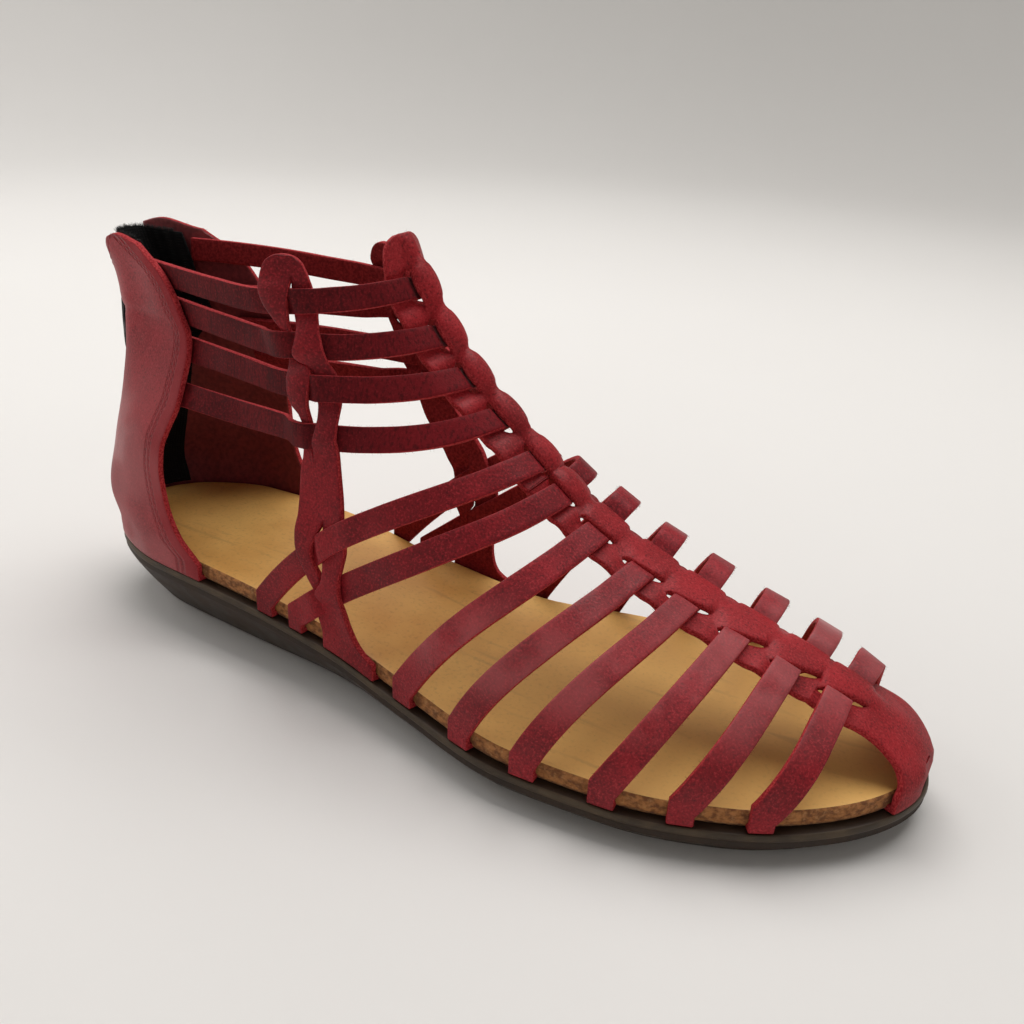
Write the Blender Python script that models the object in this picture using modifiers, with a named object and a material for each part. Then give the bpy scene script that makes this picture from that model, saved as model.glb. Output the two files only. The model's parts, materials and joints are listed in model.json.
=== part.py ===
# Strappy sandal, right shoe: a woven strap upper on a low wedge sole, closed at the heel by a zip.
# Shoe frame: x from the back of the heel to the toe, y towards the inner side, z up from the floor.
# Sizes are in millimetres, and MM turns them into metres where a mesh is made.

import math

import bmesh
import bpy
import numpy as np

MM = 0.001
LATERAL = -1
MEDIAL = 1
SIDE_NAME = {LATERAL: "lateral", MEDIAL: "medial"}

# Driving dimensions
FOOT_LENGTH = 250.0     # insole, heel to toe
TOE_LEAN = 9.0          # how far the toe leans to the inner side
LEAN_START = 140.0      # station where that lean begins
LEAN_POWER = 1.6
GAP = 0.3               # clearance between neighbouring pieces
STRAP_THICK = 1.8
INSOLE_THICK = 2.6
COUNTER_THICK = 2.0
TUCK = 8.0              # how far strap ends run in under the insole
ORIGIN_X = 124.0        # the part's origin lies under the middle of its box
ORIGIN_Y = 0.4

# Levels of a strap's inner face above the last
LEVEL_RIM = 0.5
LEVEL_TOE = 1.6         # toe piece of the spine in front of the insole tip
LEVEL_STRIP = 0.0       # edge bands of the spine strip
LEVEL_CROSS = 1.2       # cross straps
LEVEL_SIDE = 2.0        # side straps
LEVEL_BAND = 0.5        # middle band of the spine between crossings
LEVEL_BAND_END = -0.4   # where it runs out into the strip
BAND_RISE = 1.0         # how much higher the band lies over each crossing
LEVEL_COUNTER = 1.0
LEVEL_UNDER_COUNTER = -1.2

# Insole outline: station, half width on the lateral side, half width on the medial side
PLAN = (
    ("station", "lateral", "medial"),
    (0.0, 0.0, 0.0),
    (12.0, 19.2, 19.9),
    (30.0, 26.0, 27.3),
    (60.0, 28.5, 28.3),
    (95.0, 30.0, 25.6),
    (130.0, 36.4, 27.0),
    (165.0, 44.0, 36.8),
    (190.0, 43.5, 41.0),
    (215.0, 37.4, 38.4),
    (236.0, 25.0, 26.5),
    (250.0, 0.0, 0.0),
)

# Sole heights: station, insole top, lift of the tread off the floor, inward taper of the side wall
SOLE = (
    ("station", "insole_top", "lift", "taper"),
    (0.0, 25.0, 0.0, 11.0),
    (40.0, 25.0, 0.0, 11.5),
    (62.0, 24.3, 0.0, 11.0),
    (100.0, 20.4, 1.4, 8.0),
    (142.0, 16.0, 0.0, 6.5),
    (205.0, 14.3, 0.0, 5.0),
    (228.0, 14.2, 1.2, 3.4),
    (250.0, 15.0, 4.0, 2.2),
)

# Crest of the last, from the shin over the instep to the toe
CREST = (
    ("station", "height"),
    (84.0, 165.0),
    (96.0, 128.0),
    (105.0, 110.0),
    (122.0, 89.5),
    (142.5, 73.2),
    (163.0, 57.8),
    (189.4, 45.5),
    (217.0, 35.2),
    (232.0, 29.0),
    (241.0, 23.5),
    (246.5, 19.2),
    (250.0, 15.0),
)

# Heel and ankle: height, station of the back line, half width of the ankle ring
HEEL = (
    ("height", "back", "half_width"),
    (15.0, 0.0, 28.0),
    (25.0, 0.0, 28.0),
    (36.0, -2.2, 28.0),
    (52.0, 0.9, 27.5),
    (69.0, 4.0, 27.0),
    (86.0, 5.4, 26.0),
    (100.0, 2.8, 24.5),
    (110.0, -1.6, 23.5),
    (118.0, -6.0, 23.0),
)
# Ankle ring from the back line to the crest: share of the way, share of the half width
RING = (
    ("share", "half_width"),
    (0.0, 0.0),
    (0.03, 0.30),
    (0.15, 0.43),
    (0.27, 0.58),
    (0.50, 0.85),
    (0.70, 1.0),
    (0.85, 0.86),
    (0.95, 0.53),
    (1.0, 0.0),
)
ARCH_FULLNESS = 2.1
ANKLE_LOW = 25.0        # rise above the insole where the heel seat begins to turn into the ankle ring
ANKLE_HIGH = 65.0
BULGE_REACH = 60.0      # how far forward the heel's back line shifts the seat outline
INSTEP_START = 85.0     # stations between which the ankle ring turns into the instep arch
INSTEP_END = 135.0
RING_SLOPE = 3.0        # fall of the ring's squared width past its ends

# Cross straps: crest station, end stations on both sides, bow of the side view, width
RIM_STRAPS = (
    ("name", "crest", "lateral", "medial", "bow", "width"),
    ("forefoot_1", 163.5, 129.0, 132.5, 0.06, 7.3),
    ("forefoot_2", 177.2, 149.6, 154.0, 0.1, 7.2),
    ("forefoot_3", 190.0, 168.2, 173.0, 0.11, 7.2),
    ("forefoot_4", 203.6, 188.4, 194.0, 0.11, 7.2),
    ("forefoot_5", 216.6, 206.0, 211.5, 0.11, 7.2),
    ("forefoot_6", 228.8, 222.4, 228.0, 0.11, 7.4),
    ("diagonal_1", 144.2, 76.5, 80.0, 0.1, 6.9),
    ("diagonal_2", 152.6, 88.0, 92.0, 0.055, 7.2),
)

# Ankle straps: crest station, station of the ends under the counter, their heights, bow, width
ANKLE_STRAPS = (
    ("name", "crest", "end", "lateral", "medial", "bow", "width"),
    ("ankle_1", 104.6, 18.0, 105.3, 105.5, -0.2, 6.4),
    ("ankle_2", 113.0, 27.0, 95.5, 94.5, -0.1, 6.7),
    ("ankle_3", 122.0, 31.0, 85.0, 84.0, 0.0, 6.9),
    ("ankle_4", 132.5, 32.0, 73.0, 73.0, -0.25, 6.7),
)

# Side straps: height, station on both sides, width
SIDE_STRAP = (
    ("height", "lateral", "medial", "width"),
    (119.0, 80.0, 78.5, 7.0),
    (116.5, 79.8, 78.5, 12.5),
    (112.0, 79.5, 78.5, 14.0),
    (98.0, 87.0, 79.5, 11.5),
    (87.0, 91.0, 83.0, 12.0),
    (64.0, 96.8, 95.5, 13.0),
    (52.0, 97.8, 103.5, 14.0),
    (40.0, 101.0, 108.0, 14.5),
    (28.0, 105.5, 112.0, 16.5),
    (17.5, 108.5, 115.0, 21.0),
)
STRAP_RISE = (0.1, 0.45)  # shares of a half strap between which it rises to its level
SIDE_SETTLE = 18.0      # height over which a side strap settles onto the insole edge

# Spine strip: station on the crest, full width
SPINE = (
    ("station", "width"),
    (98.0, 8.0),
    (100.0, 13.0),
    (105.0, 15.0),
    (163.0, 16.5),
    (229.0, 17.5),
    (238.0, 22.5),
    (245.0, 27.0),
    (250.0, 31.0),
)
SPINE_STEP = 3.6        # spacing of the spine's sections along the crest
TOE_START = 236.0       # station where the strip begins to stand off for the toe tip
TOE_DROP = 5.0          # how steeply it then turns down round the tip
TOE_MARGIN = 0.4        # the strip turns down this far from the insole tip
BAND_START = 99.0
BAND_STEP = 2.2
BAND_WIDTH = 9.6
BAND_THICK = 2.6        # the band with the loop of the strip under it
BAND_END = 237.0        # station where the middle band runs out into the toe piece
BAND_FADE = 8.0
BUMP_LENGTH = 5.0

# Front edge of the heel counter: height, station
COUNTER = (
    ("height", "front"),
    (22.0, 53.0),
    (25.0, 50.5),
    (32.0, 43.0),
    (42.0, 38.5),
    (55.0, 38.0),
    (70.0, 40.5),
    (85.0, 39.5),
    (95.0, 36.0),
    (105.0, 29.0),
    (113.0, 15.5),
)
# Top edge of the heel counter: share of the way from zip to front edge, height
COUNTER_TOP = (
    ("share", "lateral", "medial"),
    (0.0, 112.0, 113.5),
    (0.4, 113.5, 114.8),
    (1.0, 112.5, 112.8),
)
BACK_CLEAR = 0.2        # keeps the counter's columns off the very back line
SEAT_FADE = 4           # how fast the counter's rows stop following the insole upwards
COUNTER_RAMP = 9.0      # height over which the counter leaves the insole edge

# Zip: half the slot between the counter halves by height, then the pieces
ZIP_SLOT = (
    ("height", "lateral", "medial"),
    (20.0, 3.2, 3.2),
    (98.0, 3.2, 3.2),
    (112.0, 8.0, 6.5),
)
TAPE_HALF = 9.0
TAPE_ENDS = (37.0, 109.0)  # heights
TAPE_THICK = 1.1
LEVEL_TAPE = -0.9
CHAIN_HALF = 2.5
CHAIN_ENDS = (30.0, 98.0)
LEVEL_CHAIN = 0.9
CHAIN_THICK = 1.6
SLIDER_HEIGHT = 97.0
SLIDER_SIZE = (1.6, 7.0, 9.0)
LEVEL_SLIDER = 3.1
BAIL_RADIUS = 2.6
BAIL_WIRE = 0.6
BAIL_SIDES = 12
PULL_AXIS = 1.05        # hinge axis above the slider plate
PULL_THICK = 1.0
PULL_LENGTH = 23.0
PULL_EYE_WIDTH = 5.6
PULL_WIDTH = 6.6
PULL_HOLE = (2.2, 3.3)
PULL_ROUND = 2.0

# Sole edge
RIM_OFFSET = 2.4        # outsole rim beyond the insole edge
RIM_BREAK = 0.3         # broken top edge of the rim
LIP_PROUD = 0.2
WALL_TURN = 0.85        # share of the taper where the side wall turns into the rounded edge
EDGE_TURN = 0.3         # share of the rounded edge's lower facet
LIP_HEIGHT = 1.8
GROOVE_DEPTH = 0.9
EDGE_ROUND = 1.4
CORE_INSET = 12.0       # filler under the insole, inside the tucked strap ends

# Mesh steps
PLAN_STEPS = 40
BOARD_COLUMNS = 5
CORE_COLUMNS = 3
HALF_STEPS = 10
STRIP_COLUMNS = 9
BAND_COLUMNS = 4
LOOP_ROWS = 5
SIDE_ROWS = 20
SIDE_COLUMNS = 4
COUNTER_ROWS = 21
COUNTER_COLUMNS = 10
BACK_ROWS = 16
TAPE_COLUMNS = 9
CHAIN_COLUMNS = 4
DIFFERENCE = 0.25       # step of the numeric gradients
CREST_SAMPLES = 1200
HALVINGS = 40           # steps of the searches for points on the last
BACK_MARGIN = 3.0       # the search behind the heel starts this far out
BACK_DEPTH = 30.0
CREST_DEPTH = 26.0


# Short helpers on tables and numbers

def column(table, name):
    """One column of a table as an array; the table's first row names its columns."""
    index = table[0].index(name)
    return np.array([row[index] for row in table[1:]], dtype=float)


def smooth(table, name, at):
    """Smooth curve through a table's first column and the named one, held level past its ends."""
    xs = column(table, table[0][0])
    ys = column(table, name)
    if xs[0] > xs[-1]:
        xs = xs[::-1]
        ys = ys[::-1]
    step = np.diff(xs)
    rise = np.diff(ys) / step
    slope = np.zeros(len(xs))
    slope[0] = rise[0]
    slope[-1] = rise[-1]
    for k in range(1, len(xs) - 1):
        if rise[k - 1] * rise[k] > 0.0:
            before = 2.0 * step[k] + step[k - 1]
            after = step[k] + 2.0 * step[k - 1]
            slope[k] = (before + after) / (before / rise[k - 1] + after / rise[k])
    at = np.clip(np.asarray(at, dtype=float), xs[0], xs[-1])
    k = np.clip(np.searchsorted(xs, at, side="right") - 1, 0, len(xs) - 2)
    t = (at - xs[k]) / step[k]
    keep = (1.0 + 2.0 * t) * (1.0 - t) ** 2
    take = t * t * (3.0 - 2.0 * t)
    leave = t * (1.0 - t) ** 2
    reach = t * t * (t - 1.0)
    return keep * ys[k] + take * ys[k + 1] + step[k] * (leave * slope[k] + reach * slope[k + 1])


def smoothstep(start, end, at):
    t = np.clip((np.asarray(at, dtype=float) - start) / (end - start), 0.0, 1.0)
    return t * t * (3.0 - 2.0 * t)


def unit(vectors):
    return vectors / np.linalg.norm(vectors, axis=-1, keepdims=True)


# The last: the foot form that every strap lies on

def round_ended(table, length):
    """The table with its first column as an angle, so that curves through it close round at both ends."""
    rows = [(math.acos(1.0 - 2.0 * row[0] / length), *row[1:]) for row in table[1:]]
    return (table[0], *rows)


PLAN_ANGLE = round_ended(PLAN, FOOT_LENGTH)
RING_ANGLE = round_ended(RING, 1.0)


def centre_line(x):
    """Side position of the shoe's centre line, which leans to the inner side at the toe."""
    run = np.clip((np.asarray(x, dtype=float) - LEAN_START) / (FOOT_LENGTH - LEAN_START), 0.0, 1.0)
    return TOE_LEAN * run ** LEAN_POWER


def outline(x, side):
    """Half width of the insole at a station."""
    share = np.clip(1.0 - 2.0 * np.asarray(x, dtype=float) / FOOT_LENGTH, -1.0, 1.0)
    return smooth(PLAN_ANGLE, SIDE_NAME[side], np.arccos(share))


def outline_square(x, side):
    """Square of the half width, carried on below zero past heel and toe."""
    x = np.asarray(x, dtype=float)
    inside = np.clip(x, 0.0, FOOT_LENGTH)
    heel_slope = outline(1.0, side) ** 2
    toe_slope = outline(FOOT_LENGTH - 1.0, side) ** 2
    past_toe = np.maximum(x - FOOT_LENGTH, 0.0)
    return outline(inside, side) ** 2 + heel_slope * np.minimum(x, 0.0) - toe_slope * past_toe


def insole_top(x):
    return smooth(SOLE, "insole_top", x)


def insole_bottom(x):
    return insole_top(x) - INSOLE_THICK


def outsole_top(x):
    return insole_bottom(x) - COUNTER_THICK - 2.0 * GAP


def crest_height(x):
    return smooth(CREST, "height", x)


CREST_X = np.linspace(CREST[1][0], CREST[-1][0], CREST_SAMPLES)
CREST_Z = crest_height(CREST_X)


def crest_station(z):
    return np.interp(z, CREST_Z[::-1], CREST_X[::-1])


def ring_square(share):
    """Square of the ankle ring's half width, carried on below zero past its ends."""
    angle = np.arccos(np.clip(1.0 - 2.0 * share, -1.0, 1.0))
    inside = smooth(RING_ANGLE, "half_width", angle) ** 2
    return inside + RING_SLOPE * (np.minimum(share, 0.0) - np.maximum(share - 1.0, 0.0))


def width_square(x, z, side):
    """Square of the last's half width at a station and height; zero on the crest, negative outside."""
    x = np.asarray(x, dtype=float)
    z = np.asarray(z, dtype=float)
    back = smooth(HEEL, "back", z)
    seat = outline_square(x - back * (1.0 - smoothstep(0.0, BULGE_REACH, x)), side)
    rise = z - insole_top(x)
    share = np.clip(rise / np.maximum(crest_height(x) - insole_top(x), 0.5), 0.0, None)
    arch = outline_square(x, side) * (1.0 - share ** ARCH_FULLNESS)
    ring = smooth(HEEL, "half_width", z) ** 2 * ring_square((x - back) / (crest_station(z) - back))
    ankle = seat + (ring - seat) * smoothstep(ANKLE_LOW, ANKLE_HIGH, rise)
    blend = smoothstep(INSTEP_START, INSTEP_END, x)
    return ankle * (1.0 - blend) + arch * blend


def last_points(x, z, side):
    """Points of the last's surface at stations and heights on one side."""
    y = centre_line(x) + side * np.sqrt(np.maximum(width_square(x, z, side), 0.0))
    return np.stack(np.broadcast_arrays(x, y, z), axis=-1)


def last_normals(points, side):
    """Outward normals of the last at points of its surface."""
    x = points[..., 0]
    z = points[..., 2]
    away = points[..., 1] - centre_line(x)
    d = DIFFERENCE
    grow_x = (width_square(x + d, z, side) - width_square(x - d, z, side)) / (2.0 * d)
    grow_z = (width_square(x, z + d, side) - width_square(x, z - d, side)) / (2.0 * d)
    lean = (centre_line(x + d) - centre_line(x - d)) / (2.0 * d)
    return unit(np.stack((-grow_x - 2.0 * away * lean, 2.0 * away, -grow_z), axis=-1))


def back_points(y, z):
    """Points of the last's back at side positions and heights, found by halving."""
    near = smooth(HEEL, "back", z) - BACK_MARGIN
    far = near + BACK_DEPTH
    for _ in range(HALVINGS):
        middle = 0.5 * (near + far)
        square = np.where(y < 0.0, width_square(middle, z, LATERAL), width_square(middle, z, MEDIAL))
        inside = square > y * y
        far = np.where(inside, middle, far)
        near = np.where(inside, near, middle)
    return np.stack(np.broadcast_arrays(0.5 * (near + far), y, z), axis=-1)


def crest_points(x, away):
    """Points of the last beside its crest, at side distances measured from crest stations."""
    z = crest_height(x)
    d = DIFFERENCE
    slope = (crest_height(x + d) - crest_height(x - d)) / (2.0 * d)
    slope = slope - TOE_DROP * smoothstep(TOE_START, FOOT_LENGTH, x)
    length = np.sqrt(1.0 + slope * slope)
    down_x = slope / length
    down_z = -1.0 / length
    near = np.zeros(np.broadcast(x, away).shape)
    far = near + CREST_DEPTH
    for _ in range(HALVINGS):
        middle = 0.5 * (near + far)
        px = x + middle * down_x
        pz = z + middle * down_z
        square = np.where(away < 0.0, width_square(px, pz, LATERAL), width_square(px, pz, MEDIAL))
        inside = square > away * away
        far = np.where(inside, middle, far)
        near = np.where(inside, near, middle)
    px = x + 0.5 * (near + far) * down_x
    pz = z + 0.5 * (near + far) * down_z
    return np.stack((px, centre_line(px) + away, pz), axis=-1)


# Meshes, materials and modifiers

def new_collection(name):
    collection = bpy.data.collections.new(name)
    bpy.context.scene.collection.children.link(collection)
    return collection


def new_material(name, colour, roughness, metallic=0.0):
    material = bpy.data.materials.new(name)
    material.use_nodes = True
    shader = material.node_tree.nodes["Principled BSDF"]
    shader.inputs["Base Color"].default_value = (*colour, 1.0)
    shader.inputs["Roughness"].default_value = roughness
    shader.inputs["Metallic"].default_value = metallic
    return material


def to_frame(points):
    """Shoe millimetres to metres in the part's own frame."""
    return (np.asarray(points, dtype=float) - np.array((ORIGIN_X, ORIGIN_Y, 0.0))) * MM


def object_from(bm, name, material, collection):
    mesh = bpy.data.meshes.new(name)
    bm.to_mesh(mesh)
    bm.free()
    mesh.shade_smooth()
    mesh.set_sharp_from_angle(angle=math.radians(35.0))
    mesh.materials.append(material)
    thing = bpy.data.objects.new(name, mesh)
    collection.objects.link(thing)
    return thing


def grid_sheet(name, grid, facing, material, collection):
    """Open sheet over a grid of points (rows, columns), with its faces towards the facing vector."""
    bm = bmesh.new()
    rows, columns = grid.shape[:2]
    verts = [[bm.verts.new(to_frame(grid[i, j])) for j in range(columns)] for i in range(rows)]
    for i in range(rows - 1):
        for j in range(columns - 1):
            bm.faces.new((verts[i][j], verts[i][j + 1], verts[i + 1][j + 1], verts[i + 1][j]))
    bmesh.ops.remove_doubles(bm, verts=bm.verts, dist=1e-6)
    bm.normal_update()
    middle = to_frame(grid[rows // 2, columns // 2])
    nearest = min(bm.faces, key=lambda face: np.linalg.norm(np.array(face.calc_center_median()) - middle))
    if np.dot(np.array(nearest.normal), facing) < 0.0:
        bmesh.ops.reverse_faces(bm, faces=bm.faces)
    return object_from(bm, name, material, collection)


def solidify(thing, thickness, outward=True):
    modifier = thing.modifiers.new("thickness", "SOLIDIFY")
    modifier.thickness = thickness * MM
    modifier.offset = 1.0 if outward else -1.0
    modifier.use_even_offset = True
    return thing


def as_cutter(thing):
    thing.hide_render = True
    thing.display_type = "WIRE"
    return thing


def boolean(thing, operation, other):
    modifier = thing.modifiers.new(operation.lower(), "BOOLEAN")
    modifier.operation = operation
    modifier.solver = "EXACT"
    modifier.object = other


# Sole

def plan_rim(offset):
    """Lateral and medial edge points, heel to toe, moved outwards in plan by an offset per station."""
    turn = np.linspace(0.0, math.pi, PLAN_STEPS + 1)
    x = 0.5 * FOOT_LENGTH * (1.0 - np.cos(turn))
    lateral = np.stack((x, centre_line(x) - outline(x, LATERAL)), axis=-1)
    medial = np.stack((x, centre_line(x) + outline(x, MEDIAL)), axis=-1)
    ring = np.concatenate((lateral, medial[-2:0:-1]))
    along = unit(np.roll(ring, -1, axis=0) - np.roll(ring, 1, axis=0))
    outward = np.stack((along[:, 1], -along[:, 0]), axis=-1)
    moved = ring + outward * np.broadcast_to(offset(ring[:, 0])[:, None], ring.shape)
    toe = PLAN_STEPS
    return moved[: toe + 1], np.concatenate((moved[:1], moved[: toe - 1: -1]))


def level_offset(amount):
    return lambda x: np.full(len(x), amount)


def plan_sheet(offset, height, columns):
    """Grid across the sole from the lateral edge to the medial edge."""
    lateral, medial = plan_rim(offset)
    share = np.linspace(0.0, 1.0, columns)[None, :, None]
    flat = lateral[:, None, :] * (1.0 - share) + medial[:, None, :] * share
    return np.concatenate((flat, height(flat[..., :1])), axis=-1)


def make_insole(material, parts, blanks):
    sheet = plan_sheet(level_offset(0.0), insole_top, BOARD_COLUMNS)
    board = grid_sheet("insole", sheet, (0, 0, 1), material, parts)
    solidify(board, INSOLE_THICK, outward=False)
    lower_half = 0.5 * INSOLE_THICK

    def core_top(x):
        return insole_bottom(x) + lower_half

    core_grid = plan_sheet(level_offset(-CORE_INSET), core_top, CORE_COLUMNS)
    core = as_cutter(grid_sheet("insole_core", core_grid, (0, 0, 1), material, blanks))
    solidify(core, lower_half + COUNTER_THICK + GAP, outward=False)
    boolean(board, "UNION", core)
    return board


def tread_height(x):
    return smooth(SOLE, "lift", x)


def outsole_rings():
    """Rings of the outsole from its top edge down to the tread: offset and height at each station."""
    def taper(x):
        return smooth(SOLE, "taper", x)

    def lip_low(x):
        return outsole_top(x) - LIP_HEIGHT

    def groove(x):
        return outsole_top(x) - LIP_HEIGHT - GROOVE_DEPTH

    def wall_low(x):
        return tread_height(x) + EDGE_ROUND

    def edge_low(x):
        return tread_height(x) + EDGE_TURN * EDGE_ROUND

    levels = (
        (level_offset(RIM_OFFSET - RIM_BREAK), outsole_top),
        (level_offset(RIM_OFFSET), lambda x: outsole_top(x) - RIM_BREAK),
        (level_offset(RIM_OFFSET + LIP_PROUD), lip_low),
        (level_offset(RIM_OFFSET - GROOVE_DEPTH), groove),
        (level_offset(RIM_OFFSET - LIP_PROUD), lambda x: groove(x) - GROOVE_DEPTH),
        (lambda x: RIM_OFFSET - LIP_PROUD - WALL_TURN * taper(x), wall_low),
        (lambda x: RIM_OFFSET - LIP_PROUD - EDGE_TURN * EDGE_ROUND - taper(x), edge_low),
        (lambda x: RIM_OFFSET - LIP_PROUD - EDGE_ROUND - taper(x), tread_height),
    )
    rings = []
    for offset, height in levels:
        lateral, medial = plan_rim(offset)
        ring = np.concatenate((lateral, medial[-2:0:-1]))
        rings.append(np.concatenate((ring, height(ring[:, :1])), axis=-1))
    return rings


def make_outsole(material, parts):
    bm = bmesh.new()
    rings = [[bm.verts.new(to_frame(point)) for point in ring] for ring in outsole_rings()]
    count = len(rings[0])
    for upper, lower in zip(rings, rings[1:]):
        for i in range(count):
            after = (i + 1) % count
            bm.faces.new((upper[i], lower[i], lower[after], upper[after]))
    for ring in (rings[0], rings[-1]):
        for i in range(PLAN_STEPS):
            corners = (ring[i], ring[i + 1], ring[-i - 1], ring[-i])
            bm.faces.new(tuple(dict.fromkeys(corners)))
    bmesh.ops.recalc_face_normals(bm, faces=bm.faces)
    return object_from(bm, "outsole", material, parts)


# Straps

def tucked(edge_rows, normals):
    """Two more rows for a strap end: down past the insole edge, then in under it."""
    flat = normals.copy()
    flat[..., 2] = 0.0
    flat = unit(flat)
    down = edge_rows.copy()
    down[..., 2] = insole_bottom(down[..., 0]) - GAP
    inward = down - TUCK * flat
    inward[..., 2] = insole_bottom(inward[..., 0]) - GAP
    return down, inward


def strap_rows(points, normals, level, width):
    """Both edges of a flat strap along a path on the last."""
    along = np.gradient(points, axis=0)
    across = unit(np.cross(normals, along))
    centre = points + normals * level[:, None]
    return np.stack((centre - 0.5 * width * across, centre + 0.5 * width * across), axis=1)


def half_path(start, crest, bow, side):
    """One side of a cross strap in side view, from its end up to the crest."""
    top = np.array((crest, float(crest_height(crest))))
    start = np.array(start)
    run = top - start
    bend = start + run * np.array((0.5 - bow, 0.5 + bow))
    u = np.linspace(0.0, 1.0, HALF_STEPS + 1)
    t = (1.0 - (1.0 - u) ** 2)[:, None]
    flat = (1.0 - t) ** 2 * start + 2.0 * t * (1.0 - t) * bend + t * t * top
    points = last_points(flat[:, 0], flat[:, 1], side)
    return points, last_normals(points, side), u


def cross_strap(name, starts, crest, bow, width, end_level, tuck, material, blanks):
    """A strap from side to side over the crest; its ends tuck under the insole or lie in the counter."""
    near, near_normals, u = half_path(starts[0], crest, bow, LATERAL)
    far, far_normals, u = half_path(starts[1], crest, bow, MEDIAL)
    points = np.concatenate((near, far[-2::-1]))
    normals = np.concatenate((near_normals, far_normals[-2::-1]))
    rise = end_level + (LEVEL_CROSS - end_level) * smoothstep(*STRAP_RISE, u)
    rows = strap_rows(points, normals, np.concatenate((rise, rise[-2::-1])), width)
    if tuck:
        down, inward = tucked(rows[0], np.stack((normals[0], normals[0])))
        down_far, inward_far = tucked(rows[-1], np.stack((normals[-1], normals[-1])))
        rows = np.concatenate((inward[None], down[None], rows, down_far[None], inward_far[None]))
    sheet = grid_sheet(name, rows, normals[len(normals) // 2], material, blanks)
    return as_cutter(solidify(sheet, STRAP_THICK))


def side_strap(name, side, material, blanks):
    """A side strap: a strip up the side of the last, wide at the sole and looped at the top."""
    level_list = column(SIDE_STRAP, "height")
    top = level_list[0]
    loop = level_list[2]
    foot = level_list[-1]
    shaft = np.linspace(loop, foot, SIDE_ROWS)
    heights = np.concatenate((np.linspace(top, loop, LOOP_ROWS), shaft[1:]))
    stations = smooth(SIDE_STRAP, SIDE_NAME[side], heights)
    path = np.stack((stations, heights), axis=-1)
    along = unit(np.gradient(path, axis=0))
    across = np.stack((-along[:, 1], along[:, 0]), axis=-1)
    share = np.linspace(-0.5, 0.5, SIDE_COLUMNS)
    width = smooth(SIDE_STRAP, "width", heights)
    flat = path[:, None, :] + across[:, None, :] * (width[:, None] * share)[..., None]
    settle = 1.0 - smoothstep(foot, foot + SIDE_SETTLE, heights)[:, None]
    over_rim = insole_top(flat[..., 0]) + heights[:, None] - foot
    flat[..., 1] = flat[..., 1] * (1.0 - settle) + over_rim * settle
    points = last_points(flat[..., 0], flat[..., 1], side)
    normals = last_normals(points, side)
    level = LEVEL_RIM + (LEVEL_SIDE - LEVEL_RIM) * smoothstep(foot, foot + SIDE_SETTLE, heights)
    rows = points + normals * level[:, None, None]
    down, inward = tucked(rows[-1], normals[-1])
    rows = np.concatenate((rows, down[None], inward[None]))
    sheet = grid_sheet(name, rows, (0, side, 0), material, blanks)
    return as_cutter(solidify(sheet, STRAP_THICK))


def crest_run(first, last, step):
    """Stations along the crest about one step apart."""
    x = np.linspace(first, last, 800)
    length = np.concatenate(((0.0,), np.cumsum(np.hypot(np.diff(x), np.diff(crest_height(x))))))
    count = max(2, round(length[-1] / step))
    at = np.linspace(0.0, length[-1], count + 1)
    return np.interp(at, length, x)


def spine_sheet(stations, half_width, columns, level):
    """Grid of a strip that lies on the crest of the last and bends down on both sides of it."""
    share = np.linspace(-1.0, 1.0, columns)
    away = half_width[:, None] * share
    points = crest_points(np.broadcast_to(stations[:, None], away.shape), away)
    lateral = last_normals(points, LATERAL)
    medial = last_normals(points, MEDIAL)
    normals = np.where(away[..., None] < 0.0, lateral, medial)
    return points + normals * level[:, None, None], normals


def make_upper(material, parts, blanks):
    stations = crest_run(SPINE[1][0], FOOT_LENGTH - TOE_MARGIN, SPINE_STEP)
    level = LEVEL_STRIP + (LEVEL_TOE - LEVEL_STRIP) * smoothstep(TOE_START, FOOT_LENGTH, stations)
    strip, normals = spine_sheet(stations, 0.5 * smooth(SPINE, "width", stations), STRIP_COLUMNS, level)
    down, inward = tucked(strip[-1], normals[-1])
    strip = np.concatenate((strip, down[None], inward[None]))
    upper = solidify(grid_sheet("upper", strip, (0.5, 0, 0.8), material, parts), STRAP_THICK)

    crossings = np.concatenate((column(RIM_STRAPS, "crest"), column(ANKLE_STRAPS, "crest")))
    stations = crest_run(BAND_START, BAND_END, BAND_STEP)
    bump = np.zeros(len(stations))
    for crest in crossings:
        slope = float(crest_height(crest + 1.0) - crest_height(crest - 1.0)) / 2.0
        distance = (stations - crest) * math.hypot(1.0, slope)
        bump = np.maximum(bump, np.exp(-((distance / BUMP_LENGTH) ** 2)))
    fade = smoothstep(BAND_END, BAND_END - BAND_FADE, stations)
    level = LEVEL_BAND_END + (LEVEL_BAND - LEVEL_BAND_END + BAND_RISE * bump) * fade
    band, _ = spine_sheet(stations, np.full(len(stations), 0.5 * BAND_WIDTH), BAND_COLUMNS, level)
    pieces = [solidify(grid_sheet("spine_band", band, (0.5, 0, 0.8), material, blanks), BAND_THICK)]

    for name, crest, lateral, medial, bow, width in RIM_STRAPS[1:]:
        starts = ((lateral, float(insole_top(lateral))), (medial, float(insole_top(medial))))
        pieces.append(cross_strap(name, starts, crest, bow, width, LEVEL_RIM, True, material, blanks))
    for name, crest, end, lateral, medial, bow, width in ANKLE_STRAPS[1:]:
        starts = ((end, lateral), (end, medial))
        pieces.append(
            cross_strap(name, starts, crest, bow, width, LEVEL_UNDER_COUNTER, False, material, blanks)
        )
    pieces.append(side_strap("side_lateral", LATERAL, material, blanks))
    pieces.append(side_strap("side_medial", MEDIAL, material, blanks))
    for piece in pieces:
        as_cutter(piece)
        boolean(upper, "UNION", piece)
    return upper


# Heel

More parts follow.
